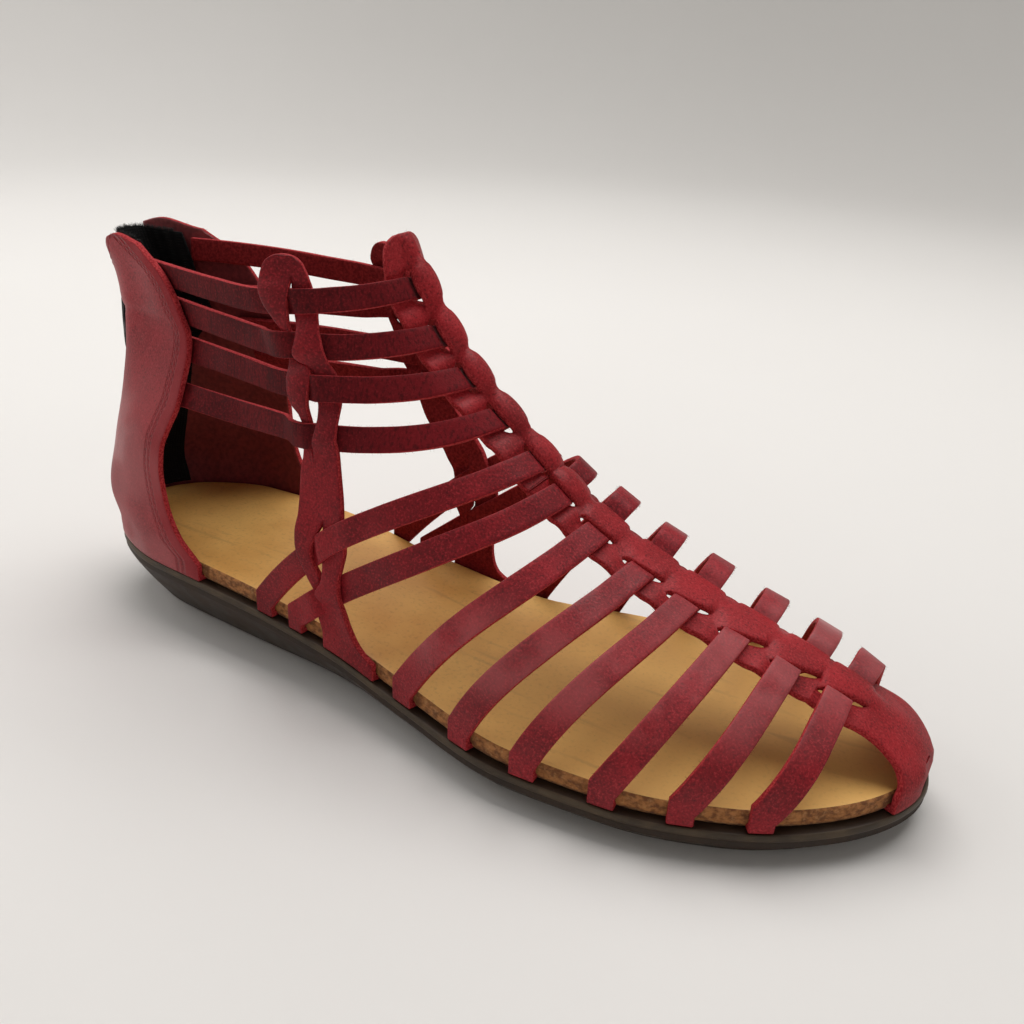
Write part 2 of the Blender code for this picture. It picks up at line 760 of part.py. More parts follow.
def make_counter(name, side, material, parts):
    """One half of the closed heel, cut from the last's own surface between zip and scalloped front edge."""
    share = np.linspace(0.0, 1.0, COUNTER_COLUMNS)[None, :]
    rise = np.linspace(0.0, 1.0, COUNTER_ROWS)[:, None]
    top = smooth(COUNTER_TOP, SIDE_NAME[side], share)
    low = float(insole_top(0.0))
    z = low + (top - low) * rise
    slot = back_points(side * smooth(ZIP_SLOT, SIDE_NAME[side], z[:, :1]), z[:, :1])[..., 0]
    back = smooth(HEEL, "back", z) - BACK_CLEAR
    front = smooth(COUNTER, "front", z)
    first = np.sqrt(np.maximum(slot - back, 0.0) / (front - back))
    along = first + (1.0 - first) * share
    x = back + (front - back) * along ** 2
    z = z + (insole_top(x) - low) * (1.0 - rise) ** SEAT_FADE
    points = last_points(x, z, side)
    normals = last_normals(points, side)
    ramp = smoothstep(0.0, COUNTER_RAMP, z - insole_top(x))
    rows = points + normals * (LEVEL_RIM + (LEVEL_COUNTER - LEVEL_RIM) * ramp)[..., None]
    down, inward = tucked(rows[0], normals[0])
    rows = np.concatenate((inward[None], down[None], rows))
    sheet = grid_sheet(name, rows, (-0.5, side, 0), material, parts)
    return solidify(sheet, COUNTER_THICK)


def back_strip(name, half, ends, columns, level, thickness, material, parts):
    """A strip up the back line of the heel between two heights."""
    y = np.linspace(-half, half, columns)[None, :]
    z = np.linspace(*ends, BACK_ROWS)[:, None]
    points = back_points(y, z)
    lateral = last_normals(points, LATERAL)
    medial = last_normals(points, MEDIAL)
    normals = np.where(points[..., 1:2] < 0.0, lateral, medial)
    sheet = grid_sheet(name, points + normals * level, (-1, 0, 0), material, parts)
    return solidify(sheet, thickness)


def slider_place():
    """Point on the chain where the slider sits, its outward direction and its lean."""
    point = back_points(np.array((0.0,)), np.array((SLIDER_HEIGHT,)))
    normal = last_normals(point, LATERAL)[0]
    return point[0], normal, math.atan2(normal[2], -normal[0])


def make_slider(material, parts, blanks):
    point, normal, lean = slider_place()
    centre = point + normal * (LEVEL_SLIDER + 0.5 * SLIDER_SIZE[0])
    bm = bmesh.new()
    bmesh.ops.create_cube(bm, size=1.0)
    bmesh.ops.scale(bm, vec=[size * MM for size in SLIDER_SIZE], verts=bm.verts)
    slider = object_from(bm, "zip_slider", material, parts)
    slider.location = to_frame(centre)
    slider.rotation_euler = (0.0, lean, 0.0)
    bevel = slider.modifiers.new("edges", "BEVEL")
    bevel.width = 0.4 * MM
    bevel.segments = 2

    bpy.ops.mesh.primitive_torus_add(
        major_radius=BAIL_RADIUS * MM,
        minor_radius=BAIL_WIRE * MM,
        major_segments=2 * BAIL_SIDES,
        minor_segments=BAIL_SIDES,
        location=to_frame(point + normal * (LEVEL_SLIDER + SLIDER_SIZE[0])),
        rotation=(0.5 * math.pi, lean, 0.0),
    )
    bail = bpy.context.object
    bail.name = "bail_ring"
    bail.data.materials.append(material)
    for collection in bail.users_collection:
        collection.objects.unlink(bail)
    blanks.objects.link(as_cutter(bail))

    bpy.ops.mesh.primitive_cube_add(size=1.0)
    inner = bpy.context.object
    inner.name = "bail_trim"
    inner.scale = (4.0 * BAIL_RADIUS * MM, 4.0 * BAIL_RADIUS * MM, 4.0 * BAIL_RADIUS * MM)
    trim_level = LEVEL_SLIDER + 0.5 * SLIDER_SIZE[0] - 2.0 * BAIL_RADIUS
    inner.location = to_frame(point + normal * trim_level)
    inner.rotation_euler = (0.0, lean, 0.0)
    for collection in inner.users_collection:
        collection.objects.unlink(inner)
    blanks.objects.link(as_cutter(inner))
    boolean(bail, "DIFFERENCE", inner)
    boolean(slider, "UNION", bail)
    return slider


def make_pull(material, parts, blanks):
    """The pull tab hangs from the bail; its origin is on the hinge axis."""
    point, normal, _ = slider_place()
    axis = point + normal * (LEVEL_SLIDER + SLIDER_SIZE[0] + PULL_AXIS)
    bar = 0.5 * PULL_THICK
    half_eye = 0.5 * PULL_EYE_WIDTH
    half_tab = 0.5 * PULL_WIDTH
    corners = [(-half_eye, bar), (half_eye, bar), (half_tab, -0.4 * PULL_LENGTH)]
    turn = np.linspace(0.0, math.pi, 9)
    low = -PULL_LENGTH + PULL_ROUND
    corners += [(half_tab * math.cos(a), low - PULL_ROUND * math.sin(a)) for a in turn]
    corners.append((-half_tab, -0.4 * PULL_LENGTH))
    bm = bmesh.new()
    flat = [bm.verts.new((-bar * MM, y * MM, z * MM)) for y, z in corners]
    face = bm.faces.new(flat)
    swept = bmesh.ops.extrude_face_region(bm, geom=[face])
    moved = [item for item in swept["geom"] if isinstance(item, bmesh.types.BMVert)]
    bmesh.ops.translate(bm, vec=(PULL_THICK * MM, 0.0, 0.0), verts=moved)
    bmesh.ops.recalc_face_normals(bm, faces=bm.faces)
    pull = object_from(bm, "zip_pull", material, parts)
    pull.location = to_frame(axis)

    bm = bmesh.new()
    bmesh.ops.create_cube(bm, size=1.0)
    bmesh.ops.scale(bm, vec=(4.0 * PULL_THICK * MM, PULL_HOLE[0] * MM, PULL_HOLE[1] * MM), verts=bm.verts)
    hole = as_cutter(object_from(bm, "pull_hole", material, blanks))
    hole.location = to_frame(axis - np.array((0.0, 0.0, bar + 0.5 * PULL_HOLE[1])))
    boolean(pull, "DIFFERENCE", hole)
    return pull


def main():
    for thing in list(bpy.data.objects):
        bpy.data.objects.remove(thing, do_unlink=True)
    parts = new_collection("strappy_sandal")
    blanks = new_collection("blanks")
    red = new_material("red_leather", (0.26, 0.018, 0.03), 0.62)
    tan = new_material("tan_leather", (0.55, 0.29, 0.09), 0.55)
    brown = new_material("brown_rubber", (0.045, 0.03, 0.022), 0.5)
    black = new_material("black_tape", (0.012, 0.012, 0.013), 0.9)
    dark = new_material("dark_metal", (0.05, 0.05, 0.055), 0.4, 0.9)

    make_outsole(brown, parts)
    make_insole(tan, parts, blanks)
    make_upper(red, parts, blanks)
    make_counter("counter_lateral", LATERAL, red, parts)
    make_counter("counter_medial", MEDIAL, red, parts)
    back_strip("zip_tape", TAPE_HALF, TAPE_ENDS, TAPE_COLUMNS, LEVEL_TAPE, TAPE_THICK, black, parts)
    back_strip("zip_chain", CHAIN_HALF, CHAIN_ENDS, CHAIN_COLUMNS, LEVEL_CHAIN, CHAIN_THICK, dark, parts)
    make_slider(dark, parts, blanks)
    make_pull(dark, parts, blanks)


main()
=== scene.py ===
# %% [markdown]
# # A woven leather sandal
# The sandal is a right shoe. Narrow leather straps run through slits in a long spine strip and in
# two side straps, and a zip closes the heel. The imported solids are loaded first. They fix where
# everything is, and each piece made below takes the place of one of them.

# %% Load the frame
import json
import math

import bmesh
import bpy
import numpy as np
from mathutils import Matrix
from mathutils.kdtree import KDTree

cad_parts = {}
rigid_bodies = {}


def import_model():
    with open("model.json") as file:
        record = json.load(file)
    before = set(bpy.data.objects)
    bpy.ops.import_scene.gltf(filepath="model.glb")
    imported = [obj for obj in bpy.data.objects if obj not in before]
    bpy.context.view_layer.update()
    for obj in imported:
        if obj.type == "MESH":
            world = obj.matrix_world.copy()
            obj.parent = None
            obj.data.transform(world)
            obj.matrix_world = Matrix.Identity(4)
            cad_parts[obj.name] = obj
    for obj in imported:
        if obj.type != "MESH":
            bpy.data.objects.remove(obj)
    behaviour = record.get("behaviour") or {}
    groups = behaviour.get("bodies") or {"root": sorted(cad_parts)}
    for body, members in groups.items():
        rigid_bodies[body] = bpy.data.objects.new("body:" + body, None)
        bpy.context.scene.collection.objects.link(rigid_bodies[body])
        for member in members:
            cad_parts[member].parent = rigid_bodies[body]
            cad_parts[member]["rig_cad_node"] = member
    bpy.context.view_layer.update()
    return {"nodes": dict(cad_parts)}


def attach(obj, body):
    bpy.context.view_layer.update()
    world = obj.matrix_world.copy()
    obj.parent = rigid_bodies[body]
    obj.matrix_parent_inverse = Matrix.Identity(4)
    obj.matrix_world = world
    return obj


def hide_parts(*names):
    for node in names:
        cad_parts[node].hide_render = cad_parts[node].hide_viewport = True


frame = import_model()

print("nodes:", sorted(frame["nodes"]))

# %% [markdown]
# ## The last
# A shoemaker builds a sandal on a last, a form of the foot. The straps here lie on such a form too.
# It is given by a few short tables in millimetres and by one function for its half width at any
# station and height. A sculpted foot would also do, but then no strap could be placed by number.

# %% Tables of the last
MM = 0.001
LATERAL = -1
MEDIAL = 1
SIDE_NAME = {LATERAL: "lateral", MEDIAL: "medial"}
ORIGIN = np.array((124.0, 0.4, 0.0))
FOOT_LENGTH = 250.0
PLAN = (
    ("station", "lateral", "medial"),
    (0.0, 0.0, 0.0), (12.0, 19.2, 19.9), (30.0, 26.0, 27.3), (60.0, 28.5, 28.3),
    (95.0, 30.0, 25.6), (130.0, 36.4, 27.0), (165.0, 44.0, 36.8), (190.0, 43.5, 41.0),
    (215.0, 37.4, 38.4), (236.0, 25.0, 26.5), (250.0, 0.0, 0.0),
)
SOLE = (
    ("station", "insole_top", "lift", "taper"),
    (0.0, 25.0, 0.0, 11.0), (40.0, 25.0, 0.0, 11.5), (62.0, 24.3, 0.0, 11.0), (100.0, 20.4, 1.4, 8.0),
    (142.0, 16.0, 0.0, 6.5), (205.0, 14.3, 0.0, 5.0), (228.0, 14.2, 1.2, 3.4), (250.0, 15.0, 4.0, 2.2),
)
CREST = (
    ("station", "height"),
    (84.0, 165.0), (96.0, 128.0), (105.0, 110.0), (122.0, 89.5), (142.5, 73.2), (163.0, 57.8),
    (189.4, 45.5), (217.0, 35.2), (232.0, 29.0), (241.0, 23.5), (246.5, 19.2), (250.0, 15.0),
)
HEEL = (
    ("height", "back", "half_width"),
    (15.0, 0.0, 28.0), (25.0, 0.0, 28.0), (36.0, -2.2, 28.0), (52.0, 0.9, 27.5), (69.0, 4.0, 27.0),
    (86.0, 5.4, 26.0), (100.0, 2.8, 24.5), (110.0, -1.6, 23.5), (118.0, -6.0, 23.0),
)
RING = (
    ("share", "half_width"),
    (0.0, 0.0), (0.03, 0.30), (0.15, 0.43), (0.27, 0.58), (0.50, 0.85), (0.70, 1.0),
    (0.85, 0.86), (0.95, 0.53), (1.0, 0.0),
)


# %% Curves through the tables
def smooth(table, name, at):
    """Smooth curve through a table's first column and the named one, held level past its ends."""
    index = table[0].index(name)
    rows = sorted((row[0], row[index]) for row in table[1:])
    xs, ys = np.array(rows, dtype=float).T
    step = np.diff(xs)
    rise = np.diff(ys) / step
    slope = np.concatenate((rise[:1], np.zeros(len(xs) - 2), rise[-1:]))
    for k in range(1, len(xs) - 1):
        if rise[k - 1] * rise[k] > 0.0:
            before = 2.0 * step[k] + step[k - 1]
            after = step[k] + 2.0 * step[k - 1]
            slope[k] = (before + after) / (before / rise[k - 1] + after / rise[k])
    at = np.clip(np.asarray(at, dtype=float), xs[0], xs[-1])
    k = np.clip(np.searchsorted(xs, at, side="right") - 1, 0, len(xs) - 2)
    t = (at - xs[k]) / step[k]
    kept = (1.0 + 2.0 * t) * (1.0 - t) ** 2 * ys[k] + t * t * (3.0 - 2.0 * t) * ys[k + 1]
    return kept + step[k] * (t * (1.0 - t) ** 2 * slope[k] + t * t * (t - 1.0) * slope[k + 1])


def smoothstep(start, end, at):
    t = np.clip((np.asarray(at, dtype=float) - start) / (end - start), 0.0, 1.0)
    return t * t * (3.0 - 2.0 * t)


def unit(vectors):
    return vectors / np.maximum(np.linalg.norm(vectors, axis=-1, keepdims=True), 1e-9)


def round_ended(table, length):
    """The table with its first column as an angle, so that its curve closes round at both ends."""
    rows = [(math.acos(1.0 - 2.0 * row[0] / length), *row[1:]) for row in table[1:]]
    return (table[0], *rows)


PLAN_ANGLE = round_ended(PLAN, FOOT_LENGTH)
RING_ANGLE = round_ended(RING, 1.0)


# %% The form of the last
def centre_line(x):
    """The shoe's centre line leans to the inner side at the toe."""
    run = np.clip((np.asarray(x, dtype=float) - 140.0) / 110.0, 0.0, 1.0)
    return 9.0 * run ** 1.6


def outline(x, side):
    share = np.clip(1.0 - 2.0 * np.asarray(x, dtype=float) / FOOT_LENGTH, -1.0, 1.0)
    return smooth(PLAN_ANGLE, SIDE_NAME[side], np.arccos(share))


def outline_square(x, side):
    x = np.asarray(x, dtype=float)
    heel_slope = outline(1.0, side) ** 2
    toe_slope = outline(FOOT_LENGTH - 1.0, side) ** 2
    past_toe = np.maximum(x - FOOT_LENGTH, 0.0)
    inside = outline(np.clip(x, 0.0, FOOT_LENGTH), side) ** 2
    return inside + heel_slope * np.minimum(x, 0.0) - toe_slope * past_toe


def insole_top(x):
    return smooth(SOLE, "insole_top", x)


def crest_height(x):
    return smooth(CREST, "height", x)


CREST_X = np.linspace(84.0, 250.0, 1200)
CREST_Z = crest_height(CREST_X)


def ring_square(share):
    angle = np.arccos(np.clip(1.0 - 2.0 * share, -1.0, 1.0))
    inside = smooth(RING_ANGLE, "half_width", angle) ** 2
    return inside + 3.0 * (np.minimum(share, 0.0) - np.maximum(share - 1.0, 0.0))


def width_square(x, z, side):
    """Square of the last's half width; zero on the crest and negative outside."""
    x = np.asarray(x, dtype=float)
    z = np.asarray(z, dtype=float)
    back = smooth(HEEL, "back", z)
    seat = outline_square(x - back * (1.0 - smoothstep(0.0, 60.0, x)), side)
    rise = z - insole_top(x)
    share = np.clip(rise / np.maximum(crest_height(x) - insole_top(x), 0.5), 0.0, None)
    arch = outline_square(x, side) * (1.0 - share ** 2.1)
    crest = np.interp(z, CREST_Z[::-1], CREST_X[::-1])
    ring = smooth(HEEL, "half_width", z) ** 2 * ring_square((x - back) / (crest - back))
    ankle = seat + (ring - seat) * smoothstep(25.0, 65.0, rise)
    blend = smoothstep(85.0, 135.0, x)
    return ankle * (1.0 - blend) + arch * blend


def last_points(x, z, side):
    y = centre_line(x) + side * np.sqrt(np.maximum(width_square(x, z, side), 0.0))
    return np.stack(np.broadcast_arrays(x, y, z), axis=-1)


def last_normals(points, side):
    x = points[..., 0]
    z = points[..., 2]
    away = points[..., 1] - centre_line(x)
    d = 0.25
    grow_x = (width_square(x + d, z, side) - width_square(x - d, z, side)) / (2.0 * d)
    grow_z = (width_square(x, z + d, side) - width_square(x, z - d, side)) / (2.0 * d)
    lean = (centre_line(x + d) - centre_line(x - d)) / (2.0 * d)
    return unit(np.stack((-grow_x - 2.0 * away * lean, 2.0 * away, -grow_z), axis=-1))


def both_sides(function, away, *places):
    """A value of the last on whichever side of the centre line a point is."""
    return np.where(away < 0.0, function(*places, LATERAL), function(*places, MEDIAL))


def two_sided_normals(points, away):
    lateral = last_normals(points, LATERAL)
    return np.where(away[..., None] < 0.0, lateral, last_normals(points, MEDIAL))


def back_points(y, z):
    """Points of the heel's back at side positions and heights, found by halving."""
    y, z = np.broadcast_arrays(np.asarray(y, dtype=float), np.asarray(z, dtype=float))
    near = smooth(HEEL, "back", z) - 3.0
    far = near + 30.0
    for _ in range(40):
        middle = 0.5 * (near + far)
        inside = both_sides(width_square, y, middle, z) > y * y
        far = np.where(inside, middle, far)
        near = np.where(inside, near, middle)
    return np.stack((0.5 * (near + far), y, z), axis=-1)


def crest_points(x, away):
    """Points beside the crest, at side distances measured from crest stations."""
    z = crest_height(x)
    slope = (crest_height(x + 0.25) - crest_height(x - 0.25)) / 0.5
    slope = slope - 5.0 * smoothstep(236.0, FOOT_LENGTH, x)
    length = np.sqrt(1.0 + slope * slope)
    near = np.zeros(away.shape)
    far = near + 26.0
    for _ in range(40):
        middle = 0.5 * (near + far)
        px = x + middle * slope / length
        pz = z - middle / length
        inside = both_sides(width_square, away, px, pz) > away * away
        far = np.where(inside, middle, far)
        near = np.where(inside, near, middle)
    px = x + 0.5 * (near + far) * slope / length
    pz = z - 0.5 * (near + far) / length
    return np.stack((px, centre_line(px) + away, pz), axis=-1)


print("instep height at station 122:", round(float(crest_height(122.0)), 1), "mm")

# %% [markdown]
# ## Camera, floor and light
# The camera stands where the photograph was taken from. Its place was worked out from the sole's
# outline and the strap ends, so the render can be laid over the photograph. The floor is a shallow
# dish that rises smoothly all round, like a paper sweep, so no horizon shows from any side. The
# light is one wide soft panel above and behind the shoe, helped by a weaker one on the heel side.

# %% Camera
AZIMUTH = math.radians(30.30)
ELEVATION = math.radians(25.17)
ROLL = math.radians(2.74)
CAMERA_PLACE = (0.1420, -0.2417, 0.1813)


def camera_axes():
    back = np.array((
        math.sin(AZIMUTH) * math.cos(ELEVATION),
        -math.cos(AZIMUTH) * math.cos(ELEVATION),
        math.sin(ELEVATION),
    ))
    right = np.array((math.cos(AZIMUTH), math.sin(AZIMUTH), 0.0))
    up = np.cross(back, right)
    rolled = math.cos(ROLL) * right + math.sin(ROLL) * up
    return rolled, math.cos(ROLL) * up - math.sin(ROLL) * right, back


lens = bpy.data.cameras.new("camera")
lens.lens = 39.44
lens.sensor_width = 36.0
lens.shift_x = 0.0396
lens.shift_y = 0.0073
lens.clip_start = 0.01
camera = bpy.data.objects.new("camera", lens)
bpy.context.scene.collection.objects.link(camera)
turned = np.eye(4)
turned[:3, 0], turned[:3, 1], turned[:3, 2] = camera_axes()
turned[:3, 3] = CAMERA_PLACE
camera.matrix_world = Matrix(turned.tolist())
bpy.context.scene.camera = camera
bpy.context.scene.view_settings.view_transform = "Standard"
print("camera at", CAMERA_PLACE)


# %% Floor
def link_object(name, mesh):
    thing = bpy.data.objects.new(name, mesh)
    bpy.context.scene.collection.objects.link(thing)
    return thing


def make_floor(flat, bend, wall, sides=96):
    """A flat disc that turns up in a quarter circle into a round wall."""
    turn = np.linspace(0.0, 0.5 * math.pi, 16)
    radii = np.concatenate((np.linspace(0.05, flat, 12), flat + bend * np.sin(turn[1:]), (flat + bend,)))
    heights = np.concatenate((np.zeros(12), bend * (1.0 - np.cos(turn[1:])), (wall,)))
    angle = np.linspace(0.0, 2.0 * math.pi, sides, endpoint=False)
    rings = [np.stack((r * np.cos(angle), r * np.sin(angle), np.full(sides, z)), axis=-1)
             for r, z in zip(radii, heights)]
    points = np.concatenate(([np.zeros((1, 3))] + rings))
    faces = [(0, 1 + i, 1 + (i + 1) % sides) for i in range(sides)]
    for k in range(len(rings) - 1):
        low = 1 + k * sides
        for i in range(sides):
            after = (i + 1) % sides
            faces.append((low + i, low + sides + i, low + sides + after, low + after))
    mesh = bpy.data.meshes.new("floor")
    mesh.from_pydata(points.tolist(), [], faces)
    mesh.shade_smooth()
    return link_object("floor", mesh)


floor = make_floor(1.0, 0.6, 1.8)
print("floor faces:", len(floor.data.polygons))


# %% Light
def soft_panel(name, place, target, size, power, colour):
    light = bpy.data.lights.new(name, "AREA")
    light.shape = "RECTANGLE"
    light.size = size[0]
    light.size_y = size[1]
    light.energy = power
    light.color = colour
    lamp = bpy.data.objects.new(name, light)
    bpy.context.scene.collection.objects.link(lamp)
    back = unit(np.array(place) - np.array(target))
    right = unit(np.cross((0.0, 1.0, 0.01), back))
    pose = np.eye(4)
    pose[:3, 0], pose[:3, 1], pose[:3, 2] = right, np.cross(back, right), back
    pose[:3, 3] = place
    lamp.matrix_world = Matrix(pose.tolist())
    return lamp


soft_panel("overhead", (-0.15, 0.42, 1.2), (0.0, 0.05, 0.0), (1.5, 1.0), 16.5, (1.0, 0.985, 0.965))
soft_panel("heel_side", (-1.0, -0.25, 0.75), (0.0, 0.0, 0.05), (0.7, 0.7), 3.0, (1.0, 0.99, 0.98))
world = bpy.data.worlds.new("studio")
world.use_nodes = True
world.node_tree.nodes["Background"].inputs["Color"].default_value = (0.95, 0.97, 1.0, 1.0)
world.node_tree.nodes["Background"].inputs["Strength"].default_value = 0.1
bpy.context.scene.world = world

# %% [markdown]
# ## Finishes
# The straps are a waxed nubuck: deep crimson, with a fine nap that shows as paler specks, and a
# satin sheen where a thumb has polished it. Cut edges show the brighter dyed core, and the flesh
# side is dull. All of it is made from noise on the object's own coordinates, which are metres, so
# the grain has its true size on every piece. Images would repeat and would not fit all the straps.


# %% Helpers for node trees
def add_node(tree, kind, inputs=(), **settings):
    made = tree.nodes.new(kind)
    for name, value in settings.items():
        setattr(made, name, value)
    for socket, value in dict(inputs).items():
        if isinstance(value, bpy.types.NodeSocket):
            tree.links.new(value, made.inputs[socket])
        else:
            made.inputs[socket].default_value = value
    return made


class Finish:
    """One material. Each method adds a node and gives back its output."""

    def __init__(self, name, **constants):
        self.material = bpy.data.materials.new(name)
        self.material.use_nodes = True
        self.tree = self.material.node_tree
        self.shader = self.tree.nodes["Principled BSDF"]
        for socket, value in constants.items():
            self.socket(socket).default_value = value
        self.where = self.tree.nodes.new("ShaderNodeTexCoord").outputs["Object"]

    def socket(self, name):
        return self.shader.inputs[name.replace("_", " ").title().replace("Ior", "IOR")]

    def node(self, kind, inputs=(), **settings):
        return add_node(self.tree, kind, inputs, **settings)

    def stretched(self, scale):
        return self.node("ShaderNodeMapping", {"Vector": self.where, "Scale": scale}).outputs[0]

    def noise(self, scale, detail=3.0, roughness=0.55, where=None):
        inputs = {"Vector": where or self.where, "Scale": scale, "Detail": detail, "Roughness": roughness}
        return self.node("ShaderNodeTexNoise", inputs).outputs[0]

    def cells(self, scale, where=None):
        inputs = {"Vector": where or self.where, "Scale": scale}
        return self.node("ShaderNodeTexVoronoi", inputs).outputs["Distance"]

    def between(self, value, low, high, to_low=0.0, to_high=1.0):
        inputs = {"Value": value, 1: low, 2: high, 3: to_low, 4: to_high}
        return self.node("ShaderNodeMapRange", inputs, interpolation_type="SMOOTHSTEP").outputs[0]

    def math(self, operation, first, second=0.0):
        return self.node("ShaderNodeMath", {0: first, 1: second}, operation=operation).outputs[0]

    def mix(self, share, first, second):
        inputs = {0: share, 6: first, 7: second}
        return self.node("ShaderNodeMix", inputs, data_type="RGBA").outputs[2]

    def bump(self, height, depth, strength=1.0, under=None):
        inputs = {"Height": height, "Distance": depth * MM, "Strength": strength}
        if under is not None:
            inputs["Normal"] = under
        return self.node("ShaderNodeBump", inputs).outputs[0]

    def use(self, **sockets):
        for socket, value in sockets.items():
            self.tree.links.new(value, self.socket(socket))
        return self.material


def tint(red, green, blue):
    return (red, green, blue, 1.0)


print("finish helper ready")


# %% Leather
def leather_body(finish, dark, middle, light):
    """Mottled colour, nap height and burnish that every red leather face shares."""
    cloud = finish.between(finish.noise(55.0, 4.0), 0.3, 0.72)
    nap = finish.noise(1700.0, 3.0, 0.62)
    specks = finish.between(nap, 0.5, 0.7)
    colour = finish.mix(cloud, dark, middle)
    colour = finish.mix(finish.math("MULTIPLY", specks, 0.62), colour, light)
    pits = finish.between(nap, 0.3, 0.48, 0.65, 0.0)
    colour = finish.mix(pits, colour, tint(0.035, 0.003, 0.005))
    burnish = finish.between(finish.noise(38.0, 3.0), 0.4, 0.68)
    return colour, nap, burnish


def streaks_and_painted_light(finish, colour):
    """Fine upright streaks, and painted light: a brighter red towards the spine, where the strap rises into
    the light, as on the ankle straps.
    """
    along = finish.node("ShaderNodeSeparateXYZ", {0: finish.where}).outputs[0]
    # Painted light: the red grows brighter towards the spine.
    colour = finish.mix(finish.between(along, -0.040, 0.008, 0.0, 0.6), colour, tint(0.24, 0.008, 0.014))
    streak = finish.noise(1.0, 3.0, 0.6, finish.stretched((1300.0, 1300.0, 150.0)))
    return finish.mix(finish.between(streak, 0.46, 0.68, 0.0, 0.6), colour, tint(0.030, 0.002, 0.003))


def painted_sheen_patch(finish, colour):
    """A paler patch half-way up, as on the forefoot straps: a painted sheen where light reflects off their
    steep middles.
    """
    height = finish.node("ShaderNodeSeparateXYZ", {0: finish.where}).outputs[2]
    above = finish.between(height, 0.023, 0.035)
    below = finish.between(height, 0.056, 0.040)
    patch = finish.math("MULTIPLY", above, below)
    patch = finish.math("MULTIPLY", patch, finish.between(finish.noise(70.0, 3.0), 0.3, 0.62, 0.1, 0.45))
    return finish.mix(patch, colour, tint(0.47, 0.13, 0.135))


def make_leather(name, dark, middle, light, rough=(0.64, 0.46), shine=0.22, colour_marks=None):
    finish = Finish(name, sheen_weight=0.03, sheen_roughness=0.4, sheen_tint=tint(0.9, 0.3, 0.3),
                    specular_ior_level=shine)
    colour, nap, burnish = leather_body(finish, dark, middle, light)
    if colour_marks is not None:
        # Adds the piece's own marks and painted light, such as streaks, a brighter top or a painted sheen.
        colour = colour_marks(finish, colour)
    normal = finish.bump(nap, 0.16, 0.55)
    normal = finish.bump(finish.noise(170.0, 2.0), 0.35, 0.35, normal)
    return finish.use(base_color=colour, roughness=finish.between(burnish, 0.0, 1.0, *rough), normal=normal)


red_face = make_leather("strap_leather", tint(0.145, 0.004, 0.008), tint(0.265, 0.007, 0.013),
                        tint(0.46, 0.024, 0.034))
# The forefoot straps carry a painted sheen patch half-way up.
red_painted_sheen = make_leather("forefoot_leather", tint(0.17, 0.005, 0.010), tint(0.31, 0.008, 0.016),
                          tint(0.50, 0.035, 0.045), (0.6, 0.4), 0.28, painted_sheen_patch)
# The ankle straps get a darker copy of the strap leather: painted shade for their steep sides, which get
# little light.
red_painted_shade = make_leather("ankle_leather", tint(0.075, 0.003, 0.005), tint(0.135, 0.005, 0.008),
                        tint(0.27, 0.014, 0.019), (0.7, 0.55), 0.14, streaks_and_painted_light)
red_bright = make_leather("spine_leather", tint(0.22, 0.008, 0.011), tint(0.37, 0.013, 0.019),
                          tint(0.50, 0.04, 0.048))


def make_cut_edge():
    finish = Finish("cut_edge", specular_ior_level=0.2)
    fibre = finish.noise(1900.0, 2.0)
    colour = finish.mix(finish.between(fibre, 0.3, 0.7), tint(0.24, 0.010, 0.014), tint(0.52, 0.045, 0.05))
    rough = finish.between(fibre, 0.2, 0.8, 0.95, 0.75)
    return finish.use(base_color=colour, roughness=rough, normal=finish.bump(fibre, 0.25, 0.8))


def make_flesh_side():
    finish = Finish("flesh_side", specular_ior_level=0.15)
    fuzz = finish.noise(1300.0, 3.0, 0.7)
    colour = finish.mix(finish.between(fuzz, 0.3, 0.75), tint(0.13, 0.007, 0.009), tint(0.32, 0.022, 0.024))
    rough = finish.between(fuzz, 0.2, 0.8, 0.98, 0.8)
    return finish.use(base_color=colour, roughness=rough, normal=finish.bump(fuzz, 0.3, 0.7))


cut_edge = make_cut_edge()
flesh_side = make_flesh_side()
STRAP_FINISH = (red_face, cut_edge, flesh_side)
SPINE_FINISH = (red_bright, cut_edge, flesh_side)
CROSS_FINISH = {
    "ankle": (red_painted_shade, cut_edge, flesh_side),
    "diagonal": STRAP_FINISH,
    "forefoot": (red_painted_sheen, cut_edge, flesh_side),
}
print("leathers:", [finish.name for finish in STRAP_FINISH])

# %% [markdown]
# ## Cutting leather
# Every leather piece here is a flat sheet of even thickness with square cut edges. One helper makes
# them all: it takes the inner and outer faces as grids of points, splits them where a slit is open,
# and closes the cut edges. A bevel then rounds the edges a little, as wear does. A Solidify
# modifier could give the thickness, but at the slits the two grids keep it exact.

# %% Sheets with slits
rim_faces = []


def to_frame(points):
    return (np.asarray(points, dtype=float) - ORIGIN) * MM


def new_mesh(name, points, faces, kinds, finishes):
    mesh = bpy.data.meshes.new(name)
    mesh.from_pydata(to_frame(points).tolist(), [], [tuple(int(i) for i in face) for face in faces])
    for finish in finishes:
        mesh.materials.append(finish)
    mesh.polygons.foreach_set("material_index", np.array(kinds, dtype=np.int32))
    mesh.shade_smooth()
    return mesh


def settle(thing):
    """The object's evaluated form becomes its plain mesh, and its modifiers go."""
    graph = bpy.context.evaluated_depsgraph_get()
    mesh = bpy.data.meshes.new_from_object(thing.evaluated_get(graph), depsgraph=graph)
    old = thing.data
    thing.modifiers.clear()
    thing.data = mesh
    bpy.data.meshes.remove(old)
    mesh.name = thing.name
    return thing


def round_edges(thing, width, segments=2, degrees=55.0):
    bevel = thing.modifiers.new("worn_edges", "BEVEL")
    bevel.width = width * MM
    bevel.segments = segments
    bevel.limit_method = "ANGLE"
    bevel.angle_limit = math.radians(degrees)
    bevel.use_clamp_overlap = False
    return settle(thing)


